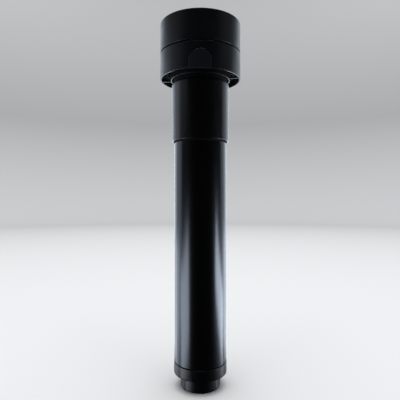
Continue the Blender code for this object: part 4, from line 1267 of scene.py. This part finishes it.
# ---------------------------------------------------------------- tube
# Stainless tube, welded and polished round its girth, then given a black vapour coating. Six
# outlet slots are cut in its back.
outlet_slot = (24.0 * mm, 4.0 * mm)
outlet_heights = (62.0 * mm, 96.0 * mm)

# Coated stainless: a dark metal with long soft reflections. Polishing lines run round the
# tube, about 0.05 mm apart; they are drawn at 0.4 mm.
black_steel, tree, shader, where = surface("black_coated_stainless", "#434447", 0.22, 1.0)
ringed = add(tree, "ShaderNodeMapping", None, {"Vector": where, "Scale": (8.0, 8.0, 1.0 / (0.4 * mm))})
along_lines = ringed.outputs["Vector"]
uneven_gloss(tree, shader, along_lines, 1.0, 4.0, (0.25, 0.75), (0.21, 0.27))
lines = add(tree, "ShaderNodeTexNoise", None, {"Vector": along_lines, "Scale": 1.0, "Detail": 4.0})
relief = {"Height": lines.outputs["Fac"], "Strength": 0.02, "Distance": 0.02 * mm}
lift = add(tree, "ShaderNodeBump", None, relief)
tree.links.new(lift.outputs["Normal"], shader.inputs["Normal"])

tube = turned(
    "tube_shell",
    [
        (tube_radius, tube_high[2], 0.2 * mm),
        (tube_radius, tube_low[2], 0.25 * mm),
        (tube_bore, tube_low[2], 0.2 * mm),
        (tube_bore, tube_high[2], 0.2 * mm),
    ],
    black_steel,
)
slots = []
for height in outlet_heights:
    for angle in (-36, 0, 36):
        turn = (
            Matrix.Rotation(math.radians(angle), 4, "Z")
            @ Matrix.Translation((0.0, 22.0 * mm, height))
            @ to_back
            @ quarter_turn
        )
        slots.append(placed(prism("slot", stadium(*outlet_slot, 16), 0.0, 6.0 * mm), turn))
carve(tube, slots)
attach(tube, "skirt")
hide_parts("skirt_tube")


# ---------------------------------------------------------------- end cap and foot
# Nylon cap pushed into the tube, with water inlets in its underside, and a narrow foot under
# it that hides a magnet. A silicone disc is let into the foot.
cap_low, cap_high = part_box("end_cap")
foot_low, foot_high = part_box("foot")
pad_low, pad_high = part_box("foot_pad")
cap_radius = cap_high[0]
cap_top = tube_low[2] - 0.8 * mm
foot_radius = foot_high[0]
inlet_count = 12
inlet_circle = 22.0 * mm
inlet_slot = (6.6 * mm, 3.0 * mm)
cap_floor = cap_low[2] + 2.0 * mm
cap_bore = 24.1 * mm
spigot_bore = 22.6 * mm
foot_screw_bore = 1.6 * mm
cap = turned(
    "cap_shell",
    [
        (spigot, cap_high[2], 0.6 * mm),
        (spigot, cap_top, 0.0),
        (cap_radius, cap_top, 0.3 * mm),
        (cap_radius - 0.1 * mm, cap_low[2], 0.8 * mm),
        (foot_screw_bore, cap_low[2], 0.2 * mm),
        (foot_screw_bore, cap_floor, 0.2 * mm),
        (cap_bore, cap_floor, 0.5 * mm),
        (cap_bore, cap_top - 2.2 * mm, 0.5 * mm),
        (spigot_bore, cap_top - 0.7 * mm, 0.5 * mm),
        (spigot_bore, cap_high[2], 0.4 * mm),
    ],
    nylon,
)
inlets = []
for i in range(inlet_count):
    inlet = prism("inlet", stadium(*inlet_slot), cap_low[2] - 2.0 * mm, cap_low[2] + 4.0 * mm)
    inlets.append(placed(inlet, around(360.0 * i / inlet_count, inlet_circle) @ quarter_turn))
carve(cap, inlets)
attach(cap, "tube_end")
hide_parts("end_cap")

pilot_radius, pilot_low = 1.5 * mm, 6.4 * mm
magnet_inner, magnet_outer = 4.2 * mm, 17.0 * mm
magnet_floor = 5.4 * mm
foot = turned(
    "foot_shell",
    [
        (0.0, pilot_low, 0.0),
        (pilot_radius, pilot_low, 0.0),
        (pilot_radius, foot_high[2], 0.0),
        (magnet_inner, foot_high[2], 0.2 * mm),
        (magnet_inner, magnet_floor, 0.3 * mm),
        (magnet_outer, magnet_floor, 0.3 * mm),
        (magnet_outer, foot_high[2], 0.2 * mm),
        (foot_radius, foot_high[2], 0.3 * mm),
        (foot_radius, foot_low[2], 1.2 * mm),
        (pad_high[0] + clear, foot_low[2], 0.15 * mm),
        (pad_high[0] + clear, pad_high[2] + clear, 0.0),
        (0.0, pad_high[2] + clear, 0.0),
    ],
    nylon,
    closed=False,
)
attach(foot, "tube_end")
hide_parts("foot")

seat = (0.0, 0.0, cap_low[2] + 2.3 * mm)
drive_screw("foot_screw", "tube_end", seat, (0.0, 0.0, -1.0), (3.0 * mm, 1.8 * mm), (1.15 * mm, 9.0 * mm))

pad = turned(
    "foot_disc",
    [
        (0.0, pad_high[2], 0.0),
        (pad_high[0], pad_high[2], 0.2 * mm),
        (pad_high[0], pad_low[2], 0.5 * mm),
        (14.0 * mm, pad_low[2], 0.3 * mm),
        (13.6 * mm, pad_low[2] + 0.5 * mm, 0.2 * mm),
        (12.4 * mm, pad_low[2] + 0.5 * mm, 0.2 * mm),
        (12.0 * mm, pad_low[2], 0.3 * mm),
        (0.0, pad_low[2], 0.0),
    ],
    silicone,
    segments=128,
    closed=False,
)
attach(pad, "tube_end")
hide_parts("foot_pad")


# ---------------------------------------------------------------- carried-over solids
# What stays hidden inside the head, the neck and the tube keeps its plain solid and gets the
# finish of the real part.
finishes = {
    "head_plastic": head_plastic,
    "sleeve_plastic": nylon,
    "core_plastic": core_plastic,
    "window": smoked,
    "tube_steel": black_steel,
    "steel": steel,
    "screws": black_oxide,
    "spring_steel": spring_steel,
    "aluminium": speckled("die_cast_aluminium", "#A9ABAE", "#BCBEC0", 0.45, 1.0, 1.0 * mm),
    "magnet": speckled("sintered_ferrite", "#2E2E31", "#3B3B3D", 0.65, 0.0, 0.6 * mm),
    "silicone": silicone,
    "circuit_board": speckled("solder_mask", "#0E3B22", "#13472A", 0.4, 0.0, 2.5 * mm),
    "component": speckled("moulded_component_case", "#1B1B1E", "#222226", 0.5, 0.0, 1.2 * mm),
    "pump_plastic": natural_pps,
}
slot_of = {part["node"]: part["material_slot"] for part in frame["record"]["subparts"]}
for name, node in frame["nodes"].items():
    node.data.materials.clear()
    node.data.materials.append(finishes[slot_of[name]])


# ---------------------------------------------------------------- size
low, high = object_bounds()
